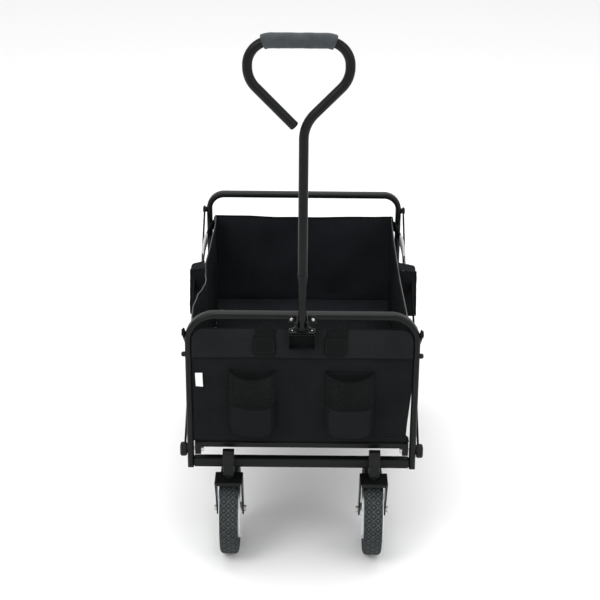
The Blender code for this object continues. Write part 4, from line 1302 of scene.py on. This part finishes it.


# ---- side fabric ----

RIM_LEFT = ((0.0, 0.2335), (0.03, 0.2345), (0.08, 0.2405), (0.13, 0.2415), (0.204, 0.2368), (0.25, 0.2285),
            (0.29, 0.2232), (0.35, 0.2284), (0.41, 0.2324), (0.55, 0.2290), (0.70, 0.2262), (0.75, 0.2270))
RIM_RIGHT = ((0.0, 0.2335), (0.03, 0.2325), (0.105, 0.2270), (0.18, 0.2262), (0.243, 0.2252),
             (0.32, 0.2238), (0.40, 0.2230), (0.55, 0.2245), (0.70, 0.2258), (0.75, 0.2270))
SPAN = REAR_Y - FRONT_Y
SIDE_OVERLAP = 0.005
SIDE_NEAREST, SIDE_FURTHEST = 0.2243, 0.2440
RIM_FRONT_Z, RIM_REAR_Z = 0.5545, 0.5240


def along_curve(table, value):
    for (a, p), (b, q) in zip(table, table[1:]):
        if value <= b:
            return p + (q - p) * blend_step(a, b, value)
    return table[-1][1]


def side_point(side, u, v):
    """The side cloth: out to its rim above, in to the floor's edge below. u runs from front to rear."""
    y = FRONT_Y - SIDE_OVERLAP + u * (SPAN + 2 * SIDE_OVERLAP)
    table = RIM_LEFT if side < 0 else RIM_RIGHT
    rim_x = along_curve(table, max(0.0, y - FRONT_Y))
    rim_z = RIM_FRONT_Z + (RIM_REAR_Z - RIM_FRONT_Z) * u - 0.0040 * math.sin(math.pi * u)
    ends = blend_step(0.0, 0.09, u) * blend_step(0.0, 0.09, 1 - u)
    low_z = 0.2815 - 0.0095 * ends
    z = rim_z + (low_z - rim_z) * v
    end_x, mid_x = (0.2320, 0.2240) if side < 0 else (0.2255, 0.2235)
    low_x = end_x + (mid_x - end_x) * ends
    share = blend_step(0.0, 0.75, v)
    x = rim_x + (low_x - rim_x) * share
    fold = 0.0026 * math.sin(26 * y + 9 * z + 2.2 * noise.noise(Vector((y * 4, z * 5, 3.0 + side))))
    fold += wrinkle((0, y, z), 0.07, 0.0042, 14.0 + side)
    free = ends * blend_step(0.0, 0.16, v) * blend_step(0.0, 0.12, 1 - v)
    return Vector((side * min(max(x + fold * free * 0.8, SIDE_NEAREST), SIDE_FURTHEST), y, z))


def gather(piece):
    """Gives a side piece its own copy of its mesh."""
    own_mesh(piece)


def make_sides():
    for side_name, side in SIDES:
        cloth = add_cloth(f"side_cloth_{side_name}", lambda u, v: side_point(side, u, v), 150, 56, CLOTH,
                          "cloth_y")
        keep(cloth, "rear_frame", "woven_fabric", f"side_panel_{side_name}")
        along = [i / 120 for i in range(121)]
        edge = [side_point(side, u, 0.0) + Vector((0, 0, 0.0008)) for u in along]
        rim = sewn(f"side_piping_{side_name}", edge, 0.0013, "rear_frame", material="piping")
        line = [side_point(side, u, 0.045) - Vector((side * 0.0011, 0, 0)) for u in along]
        stitches = add_stitches(f"side_stitches_{side_name}", line, "rear_frame")
        pieces = [cloth, rim, stitches, *make_joint_cover(side_name, side),
                  *make_carry_handle(side_name, side)]
        for piece in pieces:
            gather(piece)


def side_share(y):
    """The share u of the side cloth's length at a place along Y."""
    return (y - FRONT_Y + SIDE_OVERLAP) / (SPAN + 2 * SIDE_OVERLAP)


def make_joint_cover(side_name, side):
    """A flap sewn to the rim that hangs over the middle joint of the bars, and the gusset before it."""
    near, far = 0.352, 0.395

    def hang(u, v):
        y = FRONT_Y + near + (far - near) * u
        rim = side_point(side, side_share(y), 0.0)
        path = rounded_path([(abs(rim.x) + 0.001, 0.5490), (0.2640, 0.5415), (0.2668, 0.4320)], (0.008,), 8)
        lengths = [(b - a).length for a, b in zip(path, path[1:])]
        want = v * sum(lengths)
        for start, end, length in zip(path, path[1:], lengths):
            if want <= length:
                break
            want -= length
        spot = start.lerp(end, min(1.0, want / length))
        ripple = wrinkle((0, y, spot.y), 0.018, 0.0009, 21.0 + side) * blend_step(0.0, 0.3, v)
        return Vector((side * (spot.x + ripple), y, spot.y))

    def gusset_point(u, v):
        y, z = FRONT_Y + near + 0.0015, 0.545 - 0.115 * v
        inner = abs(side_point(side, side_share(y), (0.545 - z) / 0.26).x) + 0.001
        return Vector((side * (inner + (0.2652 - inner) * u), y + 0.0008 * math.sin(5 * v + 3 * u), z))

    cover = add_cloth(f"joint_cover_{side_name}", hang, 14, 44, 0.0013, "cloth_y")
    gusset = add_cloth(f"joint_gusset_{side_name}", gusset_point, 10, 30, 0.0011, "cloth_x")
    for piece in (cover, gusset):
        keep(piece, "rear_frame", "woven_fabric")
    hem = [hang(u / 14, 1.0) for u in range(15)]
    edges = [sewn(f"joint_cover_hem_{side_name}", hem, 0.0011, "rear_frame", 8)]
    for end_name, u in (("front", 0.0), ("rear", 1.0)):
        edge = [hang(u, v / 40) for v in range(41)]
        edges.append(sewn(f"joint_cover_{end_name}_edge_{side_name}", edge, 0.0009, "rear_frame", 8))
    return [cover, gusset, *edges]


def make_carry_handle(side_name, side):
    """Webbing sewn to the side cloth at both ends, with a pale padded grip on its middle."""
    low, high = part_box(f"carry_handle_{side_name}")
    start, finish, centre_z = low.y, high.y, (low.z + high.z) / 2

    def spot(share):
        y = start + (finish - start) * share
        base = abs(side_point(side, side_share(y), 0.1).x) + 0.0026
        bulge = math.sin(math.pi * share) ** 0.55
        x = base + (0.2462 - base) * bulge
        return Vector((side * x, y, centre_z - 0.004 * math.sin(math.pi * share)))

    steps = 60
    path = [spot(i / steps) for i in range(steps + 1)]
    strap = add_sweep(f"carry_strap_{side_name}", path, rounded_rectangle(0.0022, 0.026, 0.0009, 3),
                      (0, 0, 1), "web")
    keep(strap, "rear_frame", "woven_fabric", f"carry_handle_{side_name}")
    grip_path = [spot(0.28 + 0.44 * i / 50) for i in range(51)]
    sizes = [0.86 + 0.14 * math.sin(math.pi * min(1.0, min(i, 50 - i) / 5) / 2) for i in range(51)]
    grip = add_sweep(f"carry_grip_{side_name}", grip_path, rounded_rectangle(0.0062, 0.0295, 0.0030, 6),
                     (0, 0, 1), "pale_grip", sizes)
    for vertex in grip.data.vertices:
        vertex.co.x += side * 0.0004 * math.sin(vertex.co.y * 420)
    keep(grip, "rear_frame", "grip_foam")
    patches = []
    for end_name, share in (("front", 0.0), ("rear", 1.0)):
        point = spot(share)
        near_x, far_x = sorted((point.x - side * 0.0014, point.x + side * 0.0010))
        half = 0.016
        patch = add_block(f"carry_patch_{end_name}_{side_name}", (near_x, point.y - half, point.z - half),
                          (far_x, point.y + half, point.z + half), 0.0008, "web")
        keep(patch, "rear_frame", "woven_fabric")
        patches.append(patch)
    return [strap, grip, *patches]


# ---- floor ----

def make_floor():
    for end, pivot, inward in (("front", FRONT_Y, 1), ("rear", REAR_Y, -1)):
        low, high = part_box(f"floor_board_{end}")
        board = add_block(f"floor_stiffener_{end}", low, (high.x, high.y, high.z - 0.0004), 0.0022,
                          "lining")
        keep(board, f"floor_{end}", "woven_fabric")
        make_mat(end, pivot, inward)
        make_apron(end, pivot, inward)


def make_apron(end, pivot, inward):
    """The tub's cloth turns in over the floor's end bar and meets the mat."""
    profile = [(-0.0072, 0.2922), (0.0, 0.2906), (0.010, 0.2902), (0.024, 0.2882), (0.052, 0.2864)]

    def place(u, v):
        step = v * (len(profile) - 1)
        k = min(int(step), len(profile) - 2)
        reach = profile[k][0] + (profile[k + 1][0] - profile[k][0]) * (step - k)
        z = profile[k][1] + (profile[k + 1][1] - profile[k][1]) * (step - k)
        x = (2 * u - 1) * (0.2345 - 0.0110 * blend_step(0.015, 0.052, reach))
        return Vector((x, pivot + inward * reach, z + wrinkle((x, reach, 0), 0.03, 0.0007, 31.0)))

    apron = add_cloth(f"floor_apron_{end}", place, 90, 16, 0.0012, "lining")
    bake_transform(apron)


def make_mat(end, pivot, inward):
    """A quilted mat over each half of the floor."""
    half, near, far = 0.2224, 0.046, SPAN / 2 - 0.0020
    base, thick = 0.2790, 0.0058
    shape = bmesh.new()
    bmesh.ops.create_cube(shape, size=1.0)
    for vertex in shape.verts:
        vertex.co.x *= 2 * half
        vertex.co.y = pivot + inward * (near + (far - near) * (vertex.co.y + 0.5))
        vertex.co.z = base + thick * (vertex.co.z + 0.5)
    bmesh.ops.subdivide_edges(shape, edges=[e for e in shape.edges if e.calc_length() > 0.02], cuts=70,
                              use_grid_fill=True)
    mat = add_mesh(f"floor_mat_{end}", shape, "cloth_y", 60)
    seam_x = 0.0732

    def border(co):
        s = abs(co.y - pivot)
        return min(half - abs(co.x), s - near, far - s)

    def held(co):
        return co.z < base + thick * 0.5 or border(co) < 0.004 or abs(abs(co.x) - seam_x) < 0.004

    for vertex in mat.data.vertices:
        if vertex.co.z < base + thick * 0.5:
            continue
        edge = border(vertex.co)
        crown = blend_step(0.0, 0.022, edge)
        quilt = 1 - 0.75 * math.exp(-((abs(vertex.co.x) - seam_x) / 0.006) ** 2)
        lip = 0.0022 * (1 - blend_step(0.0, 0.004, edge))
        vertex.co.z += 0.0022 * crown * quilt - lip
        vertex.co.z += wrinkle((vertex.co.x, vertex.co.y, 0), 0.035, 0.0010, 2.0) * crown
    inflate(mat, held)
    keep(mat, f"floor_{end}", "woven_fabric", f"floor_board_{end}")


# ---- the whole scene ----

make_camera()
make_studio()
MATERIALS = make_materials()
finish_cad()
make_tubes()
make_handle()
make_bracket()
make_wheels()
make_casters()
make_scissors()
make_end_panels()
make_straps()
make_pockets()
make_label()
make_sides()
make_floor()
